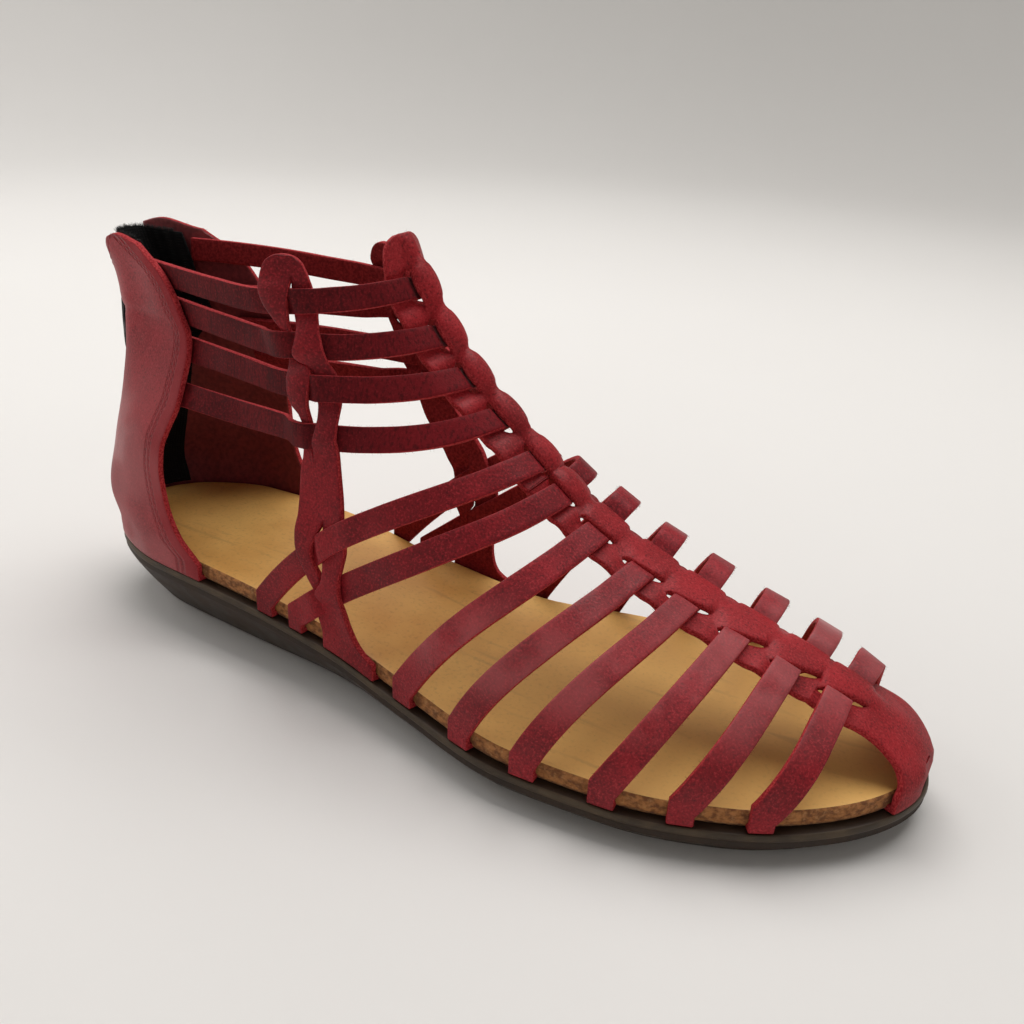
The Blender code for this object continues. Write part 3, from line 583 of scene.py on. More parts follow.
def cut_sheet(name, inner, outer, joined, finishes, edge=0.4, fuzzy=True):
    """A leather piece from bands of points side by side; joined says where neighbours meet in a row."""
    numbers = []
    top = []
    low = []
    for b, grid in enumerate(outer):
        number = np.empty(grid.shape[:2], dtype=int)
        for i, j in np.ndindex(*number.shape):
            if b > 0 and j == 0 and joined[b - 1][i]:
                number[i, j] = numbers[b - 1][i, -1]
                continue
            number[i, j] = len(top)
            top.append(grid[i, j])
            low.append(inner[b][i, j])
        numbers.append(number)
    top = np.array(top)
    low = np.array(low)
    corners = [np.stack((n[:-1, :-1], n[:-1, 1:], n[1:, 1:], n[1:, :-1]), axis=-1) for n in numbers]
    quads = np.concatenate([quad.reshape(-1, 4) for quad in corners])
    facing = np.cross(top[quads[:, 2]] - top[quads[:, 0]], top[quads[:, 3]] - top[quads[:, 1]])
    if np.mean(np.sum(facing * (top - low)[quads[:, 0]], axis=-1)) < 0.0:
        quads = quads[:, ::-1]
    count = len(top)
    runs = {(q[k], q[(k + 1) % 4]) for q in quads.tolist() for k in range(4)}
    rims = [(b, a, a + count, b + count) for a, b in sorted(runs) if (b, a) not in runs]
    points = np.concatenate((top, low))
    faces = quads.tolist() + rims + (quads[:, ::-1] + count).tolist()
    kinds = [0] * len(quads) + [1] * len(rims) + [2] * len(quads)
    if fuzzy:
        rim_faces.extend(points[list(rim)] for rim in rims)
    thing = link_object(name, new_mesh(name, points, faces, kinds, finishes))
    return round_edges(thing, edge)


print("edge faces so far:", len(rim_faces))

# %% [markdown]
# ## Where the straps run
# Twelve straps cross the foot: six on the forefoot, two diagonals and four round the ankle. A side
# strap stands on each side and a spine runs down the middle, and slits in them hold the cross straps
# in a plain weave. Short tables give every strap's place on the last, and the weave is worked out
# from them: which band goes over at a crossing, and how far along each slit opens.

# %% Strap tables
STRAP_THICK = 1.8
RIM_STRAPS = (
    ("name", "crest", "lateral", "medial", "bow", "far_bow", "lean", "shift", "far_level", "width"),
    ("forefoot_1", 163.6, 129.0, 132.5, 0.06, 0.06, -1.6, -1.0, 5.6, 7.4),
    ("forefoot_2", 177.0, 149.6, 154.0, 0.11, 0.1, -1.2, -0.2, 5.2, 7.2),
    ("forefoot_3", 189.4, 168.2, 173.0, 0.13, 0.1, 0.3, 0.7, 4.8, 7.2),
    ("forefoot_4", 202.8, 188.4, 194.0, 0.12, 0.1, 3.0, 2.5, 3.9, 7.2),
    ("forefoot_5", 215.5, 206.0, 211.5, 0.11, 0.1, 4.4, 3.8, 3.6, 7.3),
    ("forefoot_6", 227.8, 222.4, 228.0, 0.09, 0.1, 4.6, 2.3, 2.9, 7.6),
    ("diagonal_1", 144.2, 76.5, 83.0, 0.16, 0.1, 0.0, 0.0, 0.5, 6.9),
    ("diagonal_2", 152.6, 88.0, 93.5, 0.07, 0.02, 0.0, -1.0, 3.8, 7.2),
)
ANKLE_STRAPS = (
    ("name", "crest", "end", "lateral", "medial", "bow", "far_bow", "sag", "shift", "far_level", "width"),
    ("ankle_1", 104.6, 16.0, 104.4, 106.8, -0.2, -0.2, 5.0, 0.0, 0.4, 6.4),
    ("ankle_2", 113.0, 27.0, 95.5, 94.0, -0.1, -0.1, 1.0, 0.0, 0.4, 6.7),
    ("ankle_3", 122.0, 31.0, 85.0, 84.0, 0.0, 0.0, 4.2, 0.0, 0.4, 6.9),
    ("ankle_4", 132.5, 32.0, 73.0, 73.0, -0.25, -0.25, 1.8, 0.0, 0.4, 6.7),
)
SIDE_LINE = (
    ("height", "lateral", "medial"),
    (119.0, 80.0, 77.0), (112.0, 79.5, 77.0), (98.0, 87.0, 80.0), (87.0, 91.0, 84.5), (80.0, 93.0, 87.3),
    (70.0, 95.6, 92.6), (64.0, 96.8, 98.0), (58.0, 97.4, 103.2), (52.0, 97.8, 107.5), (45.0, 99.4, 111.0),
    (40.0, 101.0, 112.5), (28.0, 105.5, 114.5), (17.5, 108.5, 114.5),
)
# The side strap from its head to its foot: edges of both bands from its middle line, and their lifts
SIDE_WEAVE = (
    ("height", "left", "slit_left", "slit_right", "right", "heel_lift", "front_lift"),
    (119.7, -0.9, 0.0, 0.0, 0.7, 0.0, 0.0),
    (119.3, -2.5, 0.4, 0.4, 2.5, 0.0, 0.0),
    (118.4, -3.8, 1.0, 1.0, 4.1, 0.0, 0.0),
    (117.0, -4.7, 2.0, 2.0, 5.4, 0.0, 0.0),
    (114.0, -5.3, 3.0, 3.0, 7.3, 0.05, -0.05),
    (111.0, -5.0, 3.2, 3.2, 8.3, 0.9, -0.9),
    (108.0, -4.4, 2.2, 2.6, 8.6, 1.0, -1.0),
    (105.0, -3.6, 0.9, 2.0, 8.4, 0.8, -0.8),
    (102.0, -3.3, -0.9, 1.4, 7.3, -0.2, 0.2),
    (99.0, -3.3, -1.4, -0.3, 6.3, -0.9, 0.9),
    (96.0, -3.5, -1.9, -1.6, 6.2, -1.0, 1.0),
    (94.2, -3.7, -1.2, -1.0, 6.4, -0.5, 0.5),
    (92.7, -4.0, 1.8, 1.8, 6.7, 0.0, 0.0),
    (91.0, -4.4, 2.2, 2.2, 7.7, 0.7, -0.8),
    (87.0, -4.9, 1.0, 1.4, 8.3, 1.0, -1.0),
    (84.0, -4.5, 0.2, 2.5, 8.5, 0.8, -0.8),
    (81.0, -3.4, -0.4, 2.6, 8.1, -0.2, 0.2),
    (78.0, -3.3, -0.6, 1.9, 7.6, -0.9, 0.9),
    (75.0, -3.4, -0.8, 0.6, 7.2, -1.0, 1.0),
    (71.5, -3.8, -0.2, -0.2, 7.2, 0.0, 0.0),
    (66.0, -5.7, 0.2, 0.2, 7.3, 0.0, 0.0),
    (60.0, -6.3, 0.8, 0.8, 7.9, 0.0, 0.0),
    (54.5, -6.9, 2.0, 2.0, 8.2, 0.05, -0.05),
    (50.0, -7.7, -0.2, 0.4, 8.1, 1.0, -1.0),
    (46.0, -8.7, -3.2, -0.6, 7.7, 0.9, -0.9),
    (42.0, -9.1, -4.2, -0.8, 6.4, 0.1, -0.1),
    (38.0, -9.2, -4.0, -2.0, 4.8, -0.8, 0.8),
    (34.0, -8.2, -5.8, -6.0, 3.7, -1.0, 1.0),
    (29.5, -9.2, -5.0, -5.0, 2.4, 0.0, 0.0),
    (26.0, -10.0, -4.0, -4.0, 2.4, 0.0, 0.0),
    (22.0, -10.4, -3.5, -3.5, 3.2, 0.0, 0.0),
    (19.0, -10.4, -3.0, -3.0, 5.4, 0.0, 0.0),
    (17.5, -10.4, -2.0, -2.0, 10.0, 0.0, 0.0),
)
# The spine along the crest: its outer edges, slit lines and their slant, the pinch between slits, the
# level of the middle band over a strap and between two, its crown and the slits' half length
SPINE = (
    ("station", "near", "far", "near_slit", "far_slit", "slant", "pinch", "hump", "neck", "crown",
     "slit_half"),
    (98.0, 3.2, 3.4, 1.6, 1.6, 0.0, 0.0, 0.9, 0.6, 0.4, 5.0),
    (98.4, 5.3, 5.8, 2.4, 2.4, 0.0, 0.0, 1.5, 1.0, 0.4, 5.0),
    (99.3, 6.9, 7.7, 2.9, 2.9, 0.0, 0.2, 2.6, 1.6, 0.4, 5.0),
    (101.5, 8.2, 8.8, 3.3, 3.3, 0.0, 0.7, 3.9, 2.3, 0.42, 5.2),
    (105.0, 9.4, 8.4, 3.5, 3.5, 0.0, 1.0, 4.4, 2.6, 0.45, 5.3),
    (113.0, 9.9, 8.2, 3.5, 3.5, 0.0, 1.0, 4.3, 2.5, 0.45, 5.3),
    (132.5, 10.3, 8.2, 3.5, 3.5, 0.0, 1.0, 3.6, 1.9, 0.45, 5.3),
    (144.2, 11.4, 8.4, 3.7, 3.6, 0.2, 1.0, 3.1, 1.4, 0.45, 5.2),
    (152.6, 12.1, 8.4, 4.2, 3.9, 0.5, 0.8, 2.6, 1.0, 0.4, 5.4),
    (163.8, 11.7, 8.0, 4.7, 4.8, 0.9, 0.2, 2.0, 1.3, 0.25, 5.8),
    (177.0, 12.4, 8.0, 5.8, 5.2, 1.3, 0.0, 1.6, 1.2, 0.2, 6.0),
    (190.0, 13.4, 8.0, 6.4, 5.2, 1.6, 0.0, 1.55, 1.25, 0.2, 6.1),
    (204.0, 13.5, 8.0, 6.6, 5.2, 2.2, 0.0, 1.55, 1.25, 0.2, 6.1),
    (217.0, 13.0, 8.0, 6.1, 5.2, 2.0, 0.0, 1.55, 1.25, 0.2, 6.1),
    (229.0, 12.0, 8.4, 5.2, 5.0, 2.4, 0.0, 1.55, 1.2, 0.2, 6.0),
    (233.5, 11.3, 10.8, 5.0, 5.0, 2.4, 0.0, 1.35, 0.9, 0.2, 6.0),
    (239.0, 10.4, 13.6, 4.8, 5.0, 2.4, 0.0, 0.5, 0.2, 0.2, 6.0),
    (245.0, 10.9, 15.4, 4.8, 5.0, 2.4, 0.0, 0.0, 0.0, 0.2, 6.0),
    (248.0, 12.4, 15.4, 4.8, 5.0, 2.4, 0.0, 0.0, 0.0, 0.2, 6.0),
    (250.0, 14.5, 16.4, 4.8, 5.0, 2.4, 0.0, 0.0, 0.0, 0.2, 6.0),
)
# How the heel-side band of a side strap passes each cross strap: 1 over it, -1 under it
HEEL_BAND = {"ankle_1": 1, "ankle_2": -1, "ankle_3": 1, "ankle_4": -1, "diagonal_1": 1, "diagonal_2": -1}
WEAVE_LEVEL = 1.6
WEAVE_LIFT = 1.02
# Levels of a cross strap at the spine: in the hidden middle and on the near side
OVER_SPINE = {"ankle": (0.2, 2.0), "diagonal": (0.2, 2.0), "forefoot": (0.0, 2.0)}


def records(table):
    return [dict(zip(table[0], row)) for row in table[1:]]


CROSS_STRAPS = records(RIM_STRAPS) + records(ANKLE_STRAPS)
print("cross straps:", len(CROSS_STRAPS))


# %% Strap paths
def half_path(strap, side, spacing=1.2):
    """One side of a strap from its end to the crest, in even steps, with the share of the way."""
    place = strap[SIDE_NAME[side]]
    start = np.array((strap["end"], place) if "end" in strap else (place, float(insole_top(place))))
    crest = strap["crest"] + (strap["shift"] if side == MEDIAL else 0.0)
    top = np.array((crest, float(crest_height(crest))))
    bow = strap["far_bow"] if side == MEDIAL else strap["bow"]
    bend = start + (top - start) * np.array((0.5 - bow, 0.5 + bow))
    bend[0] += strap.get("lean", 0.0) * (side == LATERAL)
    u = np.linspace(0.0, 1.0, 600)
    t = (1.0 - (1.0 - u) ** 2)[:, None]
    flat = (1.0 - t) ** 2 * start + 2.0 * t * (1.0 - t) * bend + t * t * top
    if side == MEDIAL:
        flat[:, 1] -= strap.get("sag", 0.0) * np.sin(math.pi * t[:, 0] ** 2)
    points = last_points(flat[:, 0], flat[:, 1], side)
    run = np.concatenate(((0.0,), np.cumsum(np.linalg.norm(np.diff(points, axis=0), axis=1))))
    at = np.linspace(0.0, run[-1], round(run[-1] / spacing) + 1)
    even = np.stack([np.interp(at, run, points[:, k]) for k in range(3)], axis=-1)
    return even, last_normals(even, side), np.interp(at, run, u)


def crossing_height(strap, side):
    """Height at which a cross strap meets a side strap's middle line."""
    points, _, _ = half_path(strap, side, 0.4)
    gap = np.abs(points[:, 0] - smooth(SIDE_LINE, SIDE_NAME[side], points[:, 2]))
    return float(points[np.argmin(gap), 2])


WOVEN = [strap for strap in CROSS_STRAPS if strap["name"] in HEEL_BAND]
CROSSINGS = {side: {strap["name"]: crossing_height(strap, side) for strap in WOVEN} for side in SIDE_NAME}
print("crossings:", {SIDE_NAME[s]: {n: round(z, 1) for n, z in c.items()} for s, c in CROSSINGS.items()})


def side_table(side):
    """The weave table for one side; the inner side's heights are moved to its own crossings."""
    rows = [list(row) for row in SIDE_WEAVE[1:]]
    if side == MEDIAL:
        outer = [SIDE_WEAVE[-1][0]] + sorted(CROSSINGS[LATERAL].values())
        inner = [SIDE_WEAVE[-1][0]] + sorted(CROSSINGS[MEDIAL].values())
        for row in rows:
            above = max(row[0] - outer[-1], 0.0)
            row[0] = float(np.interp(row[0], outer, inner)) + 0.9 * above
            row[2] = row[3] = 0.5 * (row[2] + row[3])
    return (SIDE_WEAVE[0], *rows)


SIDE_TABLES = {side: side_table(side) for side in SIDE_NAME}


# %% Strap levels
def spine_knots(strap):
    """Level of a strap, and how far the spine rules it, by the distance from the centre line."""
    middle, beside = OVER_SPINE[strap["name"].split("_")[0]]
    crest = strap["crest"] + 0.5 * strap["shift"]
    edges = ("near", "near_slit", "far_slit")
    near, near_slit, far_slit = (float(smooth(SPINE, name, crest)) for name in edges)
    far = strap["far_level"]
    return (
        ("away", "level", "share"),
        (-near - 9.0, 1.2, 0.0), (-near - 0.5, beside, 1.0), (-near_slit - 1.5, beside, 1.0),
        (-near_slit + 1.2, middle, 1.0), (far_slit - 1.0, middle, 1.0), (far_slit + 1.0, 0.55 * far, 1.0),
        (far_slit + 3.2, 0.88 * far, 1.0), (far_slit + 6.5, far, 1.0), (far_slit + 10.0, 0.97 * far, 1.0),
        (far_slit + 16.0, 0.62 * far + 0.4, 1.0), (far_slit + 30.0, 1.2, 0.0),
    )


def side_knots(strap, side):
    """Level of a strap where it passes a side strap, by the distance from that strap's middle line."""
    place = {name: float(smooth(SIDE_TABLES[side], name, CROSSINGS[side][strap["name"]]))
             for name in ("left", "slit_left", "slit_right", "right")}
    slit = 0.5 * (place["slit_left"] + place["slit_right"])
    turn = HEEL_BAND[strap["name"]]
    heel = WEAVE_LEVEL - WEAVE_LIFT * turn
    front = WEAVE_LEVEL + WEAVE_LIFT * turn
    return (
        ("over", "level", "share"),
        (place["left"] - 8.0, heel, 0.0), (place["left"] - 1.0, heel, 1.0), (slit - 1.7, heel, 1.0),
        (slit + 1.7, front, 1.0), (place["right"] + 1.0, front, 1.0), (place["right"] + 8.0, front, 0.0),
    )


def strap_level(strap, points, base):
    """Level of a cross strap's inner face above the last at each of its points."""
    away = points[..., 1] - centre_line(points[..., 0])
    knots = spine_knots(strap)
    at_spine = smoothstep(strap["crest"] - 46.0, strap["crest"] - 32.0, points[..., 0])
    share = smooth(knots, "share", away) * at_spine
    level = base * (1.0 - share) + smooth(knots, "level", away) * share
    if strap["name"] not in HEEL_BAND:
        return level
    for side in SIDE_NAME:
        knots = side_knots(strap, side)
        over = points[..., 0] - smooth(SIDE_LINE, SIDE_NAME[side], points[..., 2])
        share = smooth(knots, "share", over) * (away * side > 0.0)
        level = level * (1.0 - share) + smooth(knots, "level", over) * share
    return level


INSOLE_THICK = 2.6
TUCK_GAP = 0.7


def tucked_rows(edge, normals, thick, tuck=8.0):
    """Rows that carry a lasted end down past the insole edge and in under it."""
    flat = normals.copy()
    flat[..., 2] = 0.0
    flat = unit(flat)
    inner = []
    outer = []
    low = insole_top(edge[..., 0]) - INSOLE_THICK - TUCK_GAP
    for share in (0.35, 0.7, 1.0):
        row = edge.copy()
        row[..., 2] = edge[..., 2] + (low - edge[..., 2]) * share
        inner.append(row)
        lean = unit(flat - np.array((0.0, 0.0, 1.0)) * max(0.0, share - 0.5) * 2.0)
        outer.append(row + lean * thick * (1.0 if share < 1.0 else 1.25))
    for reach in (0.25, 1.0):
        row = inner[2] - flat * tuck * reach
        row[..., 2] = insole_top(row[..., 0]) - INSOLE_THICK - TUCK_GAP
        inner.append(row)
        outer.append(row - np.array((0.0, 0.0, thick)))
    return np.array(inner), np.array(outer)


print("levels ready for", [strap["name"] for strap in WOVEN])

# %% [markdown]
# ## Cross straps
# A strap is a curve over the last, widened to both sides and lifted to its level. Under the spine's
# middle band it goes straight across, a little askew where the two sides don't face each other. The
# ends of forefoot and diagonal straps turn down past the insole and in under it, as lasted straps
# do, and the ankle straps end inside the heel.


# %% Cross straps
def make_cross_strap(strap):
    near, near_normals, near_u = half_path(strap, LATERAL)
    far, far_normals, far_u = half_path(strap, MEDIAL)
    clear_near = near[:, 1] - centre_line(near[:, 0]) < -3.0
    clear_far = far[:, 1] - centre_line(far[:, 0]) > 3.0
    parts = [(near[clear_near], near_normals[clear_near], near_u[clear_near][:, None]),
             (far[clear_far][::-1], far_normals[clear_far][::-1], far_u[clear_far][::-1][:, None])]
    bridge = np.linspace(0.0, 1.0, 7)[1:-1, None]
    path, normals, u = (
        np.concatenate((a, a[-1] * (1.0 - bridge) + b[0] * bridge, b)) for a, b in zip(*parts)
    )
    normals = unit(normals)
    across = unit(np.cross(normals, np.gradient(path, axis=0)))
    width = strap["width"] * (1.04 - 0.1 * u)
    offset = width * np.linspace(-0.5, 0.5, 6)[None, :]
    flat = path[:, None, :] + across[:, None, :] * offset[..., None]
    lasted = "end" not in strap
    end_level = 0.5 if lasted else -1.2
    base = end_level + (1.2 - end_level) * smoothstep(0.1, 0.45, u)
    level = strap_level(strap, flat, np.broadcast_to(base, flat.shape[:2]))
    up = np.broadcast_to(normals[:, None, :], flat.shape)
    inner = flat + up * level[..., None]
    outer = inner + up * STRAP_THICK
    if lasted:
        inner_a, outer_a = tucked_rows(inner[0], up[0], STRAP_THICK)
        inner_b, outer_b = tucked_rows(inner[-1], up[-1], STRAP_THICK)
        inner = np.concatenate((inner_a[::-1], inner, inner_b))
        outer = np.concatenate((outer_a[::-1], outer, outer_b))
    return cut_sheet(strap["name"], [inner], [outer], [], CROSS_FINISH[strap["name"].split("_")[0]])


cross_straps = [make_cross_strap(strap) for strap in CROSS_STRAPS]
strap_faces = sum(len(strap.data.polygons) for strap in cross_straps)
print("cross straps:", len(cross_straps), "with", strap_faces, "faces")

# %% [markdown]
# ## The spine
# The spine is one strip with two rows of slits, from the instep to the toe. Every cross strap goes
# over its two edge bands and under its middle band, which humps up over the strap like a bead on the
# instep and lies nearly flat on the forefoot. The strip is laid out by its length along the crest,
# with rows set at each slit's ends, so that the three bands part exactly there. The toe end widens
# into a plain cap and is lasted under the insole.

# %% Spine
SPINE_BASE = 0.9
SLIT_GAP = 1.3          # how far a near slit is pulled open by its strap
SLIT_ROWS = np.array((-1.0, -0.86, -0.7, -0.48, -0.24, 0.0, 0.24, 0.48, 0.7, 0.86, 1.0))
spine_x = np.linspace(98.0, 249.6, 4000)
spine_steps = np.hypot(np.diff(spine_x), np.diff(crest_height(spine_x)))
spine_run = np.concatenate(((0.0,), np.cumsum(spine_steps)))
slit_stations = np.sort([strap["crest"] + 0.5 * strap["shift"] for strap in CROSS_STRAPS])
slit_middles = np.interp(slit_stations, spine_x, spine_run)
slit_halves = smooth(SPINE, "slit_half", slit_stations)


def spine_rows():
    """Distances along the spine, with rows on every slit's ends."""
    rows = [np.linspace(0.0, slit_middles[0] - slit_halves[0], 14)[:-1]]
    for k, middle in enumerate(slit_middles):
        rows.append(middle + SLIT_ROWS * slit_halves[k])
        last = k + 1 == len(slit_middles)
        start = middle + slit_halves[k]
        end = spine_run[-1] if last else slit_middles[k + 1] - slit_halves[k + 1]
        steps = np.linspace(start, end, max(2, round((end - start) / 1.1)) + 1)[1:]
        rows.append(steps if last else steps[:-1])
    return np.concatenate(rows)


def make_spine():
    run = spine_rows()
    x = np.interp(run, spine_run, spine_x)
    reach = np.min(np.abs(run[:, None] - slit_middles[None, :]) / slit_halves[None, :], axis=1)
    is_open = reach < 0.995
    read = {name: smooth(SPINE, name, x) for name in SPINE[0][1:]}
    pinch = read["pinch"] * smoothstep(0.1, 1.2, reach)
    ends = np.stack((slit_middles - slit_halves, slit_middles + slit_halves), axis=-1).ravel()
    slant = read["slant"] * np.interp(run, ends, np.tile((-1.0, 1.0), len(slit_middles)))
    slant = slant * smoothstep(ends[-1] + 10.0, ends[-1], run)
    near_slit = read["near_slit"] - pinch - slant
    far_slit = read["far_slit"] - pinch
    necks = 0.5 * (slit_middles[1:] + slit_middles[:-1])
    necks = np.concatenate(((slit_middles[0] - 7.0,), necks, (slit_middles[-1] + 7.0,)))
    turns = np.sort(np.concatenate((necks, slit_middles)))
    from_neck = np.interp(run, turns, np.arange(2 * len(necks) - 1) % 2)
    hump = read["neck"] + (read["hump"] - read["neck"]) * np.sqrt(1.0 - 0.97 * (1.0 - from_neck) ** 2)
    flatter = smoothstep(150.0, 165.0, x) * smoothstep(243.0, 233.0, x)
    dip = (0.95 - 0.45 * flatter) * (1.0 - smoothstep(0.68, 1.15, reach))
    base = SPINE_BASE - 0.4 * flatter + 0.8 * (1.0 - smoothstep(0.0, 12.0, run))
    crown = read["crown"] + (0.95 - read["crown"]) * smoothstep(0.8, 1.05, reach)
    side_share = np.linspace(0.0, 1.0, 7)
    mid_share = np.linspace(-1.0, 1.0, 11)
    middle_at = 0.5 * (far_slit - near_slit)
    middle_half = 0.5 * (far_slit + near_slit)
    gap = SLIT_GAP * np.sqrt(np.clip(1.0 - reach, 0.0, 1.0)) * is_open
    aways = (
        -read["near"][:, None] + (read["near"] - near_slit - gap)[:, None] * side_share,
        middle_at[:, None] + middle_half[:, None] * mid_share,
        far_slit[:, None] + (read["far"] - far_slit)[:, None] * side_share,
    )
    middle = base[:, None] + hump[:, None] * (1.0 - crown[:, None] * mid_share ** 2)
    near = (base - dip)[:, None] * np.ones(len(side_share))
    far = near - 1.3 * (dip * smoothstep(150.0, 146.0, x))[:, None] - 0.7 * side_share[None, :]
    for band, own, other in ((near, -1, middle[:, 0]), (far, 0, middle[:, -1])):
        band[~is_open, own] = 0.5 * (band[~is_open, own] + other[~is_open])
    middle[~is_open, 0] = near[~is_open, -1]
    middle[~is_open, -1] = far[~is_open, 0]
    inner = []
    outer = []
    for away, level in zip(aways, (near, middle, far)):
        points = crest_points(np.broadcast_to(x[:, None], away.shape), away)
        up = two_sided_normals(points, away)
        low = points + up * level[..., None]
        high = low + up * STRAP_THICK
        low_end, high_end = tucked_rows(low[-1], up[-1], STRAP_THICK)
        inner.append(np.concatenate((low, low_end)))
        outer.append(np.concatenate((high, high_end)))
    joined = np.concatenate((~is_open, np.ones(5, dtype=bool)))
    return cut_sheet("spine", inner, outer, [joined, joined], SPINE_FINISH)


spine = make_spine()
print("spine faces:", len(spine.data.polygons))

# %% [markdown]
# ## Side straps
# Each side strap stands up from the sole and ends in a rounded head. Slits split it into a heel band
# and a front band, which pass the cross straps in turn, one over and the other under. Its outline
# and the two bands come from the weave table above, row by row down the strap.

# %% Side straps
SIDE_FOOT = SIDE_WEAVE[-1][0]
SIDE_SETTLE = 18.0


def even_out(values, reach=3):
    """Running mean that keeps the ends."""
    padded = np.pad(values, reach, mode="edge")
    return np.convolve(padded, np.full(2 * reach + 1, 1.0 / (2 * reach + 1)), "valid")


def make_side_strap(side):
    table = SIDE_TABLES[side]
    top = table[1][0]
    heights = np.concatenate((np.linspace(top, top - 2.2, 7)[:-1], np.linspace(top - 2.2, SIDE_FOOT, 98)))
    path = np.stack((smooth(SIDE_LINE, SIDE_NAME[side], heights), heights), axis=-1)
    along = unit(np.gradient(path, axis=0))
    along = np.stack([even_out(along[:, k]) for k in (0, 1)], axis=-1)
    across = np.stack((-along[:, 1], 0.6 * along[:, 0]), axis=-1)
    read = {name: smooth(table, name, heights) for name in table[0][1:]}
    lift = {"heel": WEAVE_LIFT * read["heel_lift"], "front": WEAVE_LIFT * read["front_lift"]}
    is_open = np.abs(lift["heel"] - lift["front"]) > 0.12
    share = np.linspace(0.0, 1.0, 7)
    line = 0.5 * (read["slit_left"] + read["slit_right"])
    slit_left = np.where(is_open, read["slit_left"], line)
    slit_right = np.where(is_open, read["slit_right"], line)
    raised = smoothstep(SIDE_FOOT, SIDE_FOOT + SIDE_SETTLE, heights)
    base = 0.5 + (WEAVE_LEVEL - 0.5) * raised
    settled = 1.0 - raised[:, None]
    inner = []
    outer = []
    for band, first, last in (("heel", read["left"], slit_left), ("front", slit_right, read["right"])):
        offset = first[:, None] + (last - first)[:, None] * share
        flat = path[:, None, :] + across[:, None, :] * offset[..., None]
        over_rim = insole_top(flat[..., 0]) + heights[:, None] - SIDE_FOOT
        flat[..., 1] = flat[..., 1] * (1.0 - settled) + over_rim * settled
        points = last_points(flat[..., 0], flat[..., 1], side)
        up = last_normals(points, side)
        level = base + np.where(is_open, lift[band], 0.5 * (lift["heel"] + lift["front"]))
        bowed = np.where(is_open, np.abs(lift[band]), 0.0)[:, None]
        curl = 0.35 * bowed * (1.0 - (2.0 * share - 1.0) ** 2)
        low = points + up * (level[:, None] + curl)[..., None]
        high = low + up * STRAP_THICK
        low_end, high_end = tucked_rows(low[-1], up[-1], STRAP_THICK)
        inner.append(np.concatenate((low, low_end)))
        outer.append(np.concatenate((high, high_end)))
    joined = np.concatenate((~is_open, np.ones(5, dtype=bool)))
    return cut_sheet("side_" + SIDE_NAME[side], inner, outer, [joined], STRAP_FINISH)


side_straps = [make_side_strap(side) for side in (LATERAL, MEDIAL)]
print("side straps:", [len(strap.data.polygons) for strap in side_straps])

# %% [markdown]
# ## Heel counter
# The closed heel is two leather halves on either side of the zip. Each follows the last from the
# zip to a scalloped front edge, and its lower edge is lasted under the insole. A soft fold runs
# across it below the top. Outside the stitching the border is left raw. The mesh carries two
# distances as a UV map, to the front edge and to the zip edge, so the finish can follow both.

# %% Counter finish
def make_counter_leather():
    finish = Finish("counter_leather", sheen_weight=0.02, sheen_roughness=0.4, specular_ior_level=0.22)
    colour, nap, burnish = leather_body(
        finish, tint(0.20, 0.008, 0.013), tint(0.33, 0.013, 0.021), tint(0.46, 0.05, 0.06))
    gap_map = finish.node("ShaderNodeUVMap", uv_map="gaps")
    gaps = finish.node("ShaderNodeSeparateXYZ", {0: gap_map.outputs[0]})
    front, zip_gap = gaps.outputs[0], gaps.outputs[1]
    raw = finish.between(front, 0.034, 0.042, 1.0, 0.0)
    colour = finish.mix(finish.math("MULTIPLY", raw, 0.6), colour, tint(0.25, 0.015, 0.02))
    height = finish.node("ShaderNodeSeparateXYZ", {0: finish.where}).outputs[2]
    # Painted sheen: a pale pink, stronger towards the bottom of the counter, stands in for the light
    # reflected there.
    low = finish.between(height, 0.095, 0.045, 0.05, 0.5)
    low_painted_sheen = finish.math("MULTIPLY", finish.between(finish.noise(22.0, 3.0), 0.36, 0.62, 0.15, 1.0), low)
    colour = finish.mix(low_painted_sheen, colour, tint(0.42, 0.13, 0.135))
    trough = 0.0
    for gap, place in ((front, 0.045), (front, 0.062), (zip_gap, 0.026)):
        off = finish.math("ABSOLUTE", finish.math("SUBTRACT", gap, place))
        trough = finish.math("ADD", finish.between(off, 0.0, 0.009, 1.0, 0.0), trough)
    colour = finish.mix(finish.math("MULTIPLY", trough, 0.35), colour, tint(0.07, 0.004, 0.006))
    rough = finish.between(burnish, 0.0, 1.0, 0.55, 0.36)
    rough = finish.math("ADD", rough, finish.math("MULTIPLY", raw, 0.3))
    normal = finish.bump(nap, 0.13, 0.45)
    normal = finish.bump(finish.noise(110.0, 3.0), 0.5, 0.3, normal)
    normal = finish.bump(finish.math("MULTIPLY", trough, -1.0), 0.3, 0.8, normal)
    return finish.use(base_color=colour, roughness=rough, normal=normal)


def make_lining():
    finish = Finish("heel_lining", sheen_weight=0.1)
    grain = finish.noise(700.0, 3.0)
    colour = finish.mix(finish.between(grain, 0.3, 0.7), tint(0.13, 0.008, 0.011), tint(0.21, 0.015, 0.018))
    rough = finish.between(grain, 0.2, 0.8, 0.75, 0.6)
    return finish.use(base_color=colour, roughness=rough, normal=finish.bump(grain, 0.12, 0.4))


COUNTER_FINISH = (make_counter_leather(), cut_edge, make_lining())
print("counter finishes:", [finish.name for finish in COUNTER_FINISH])

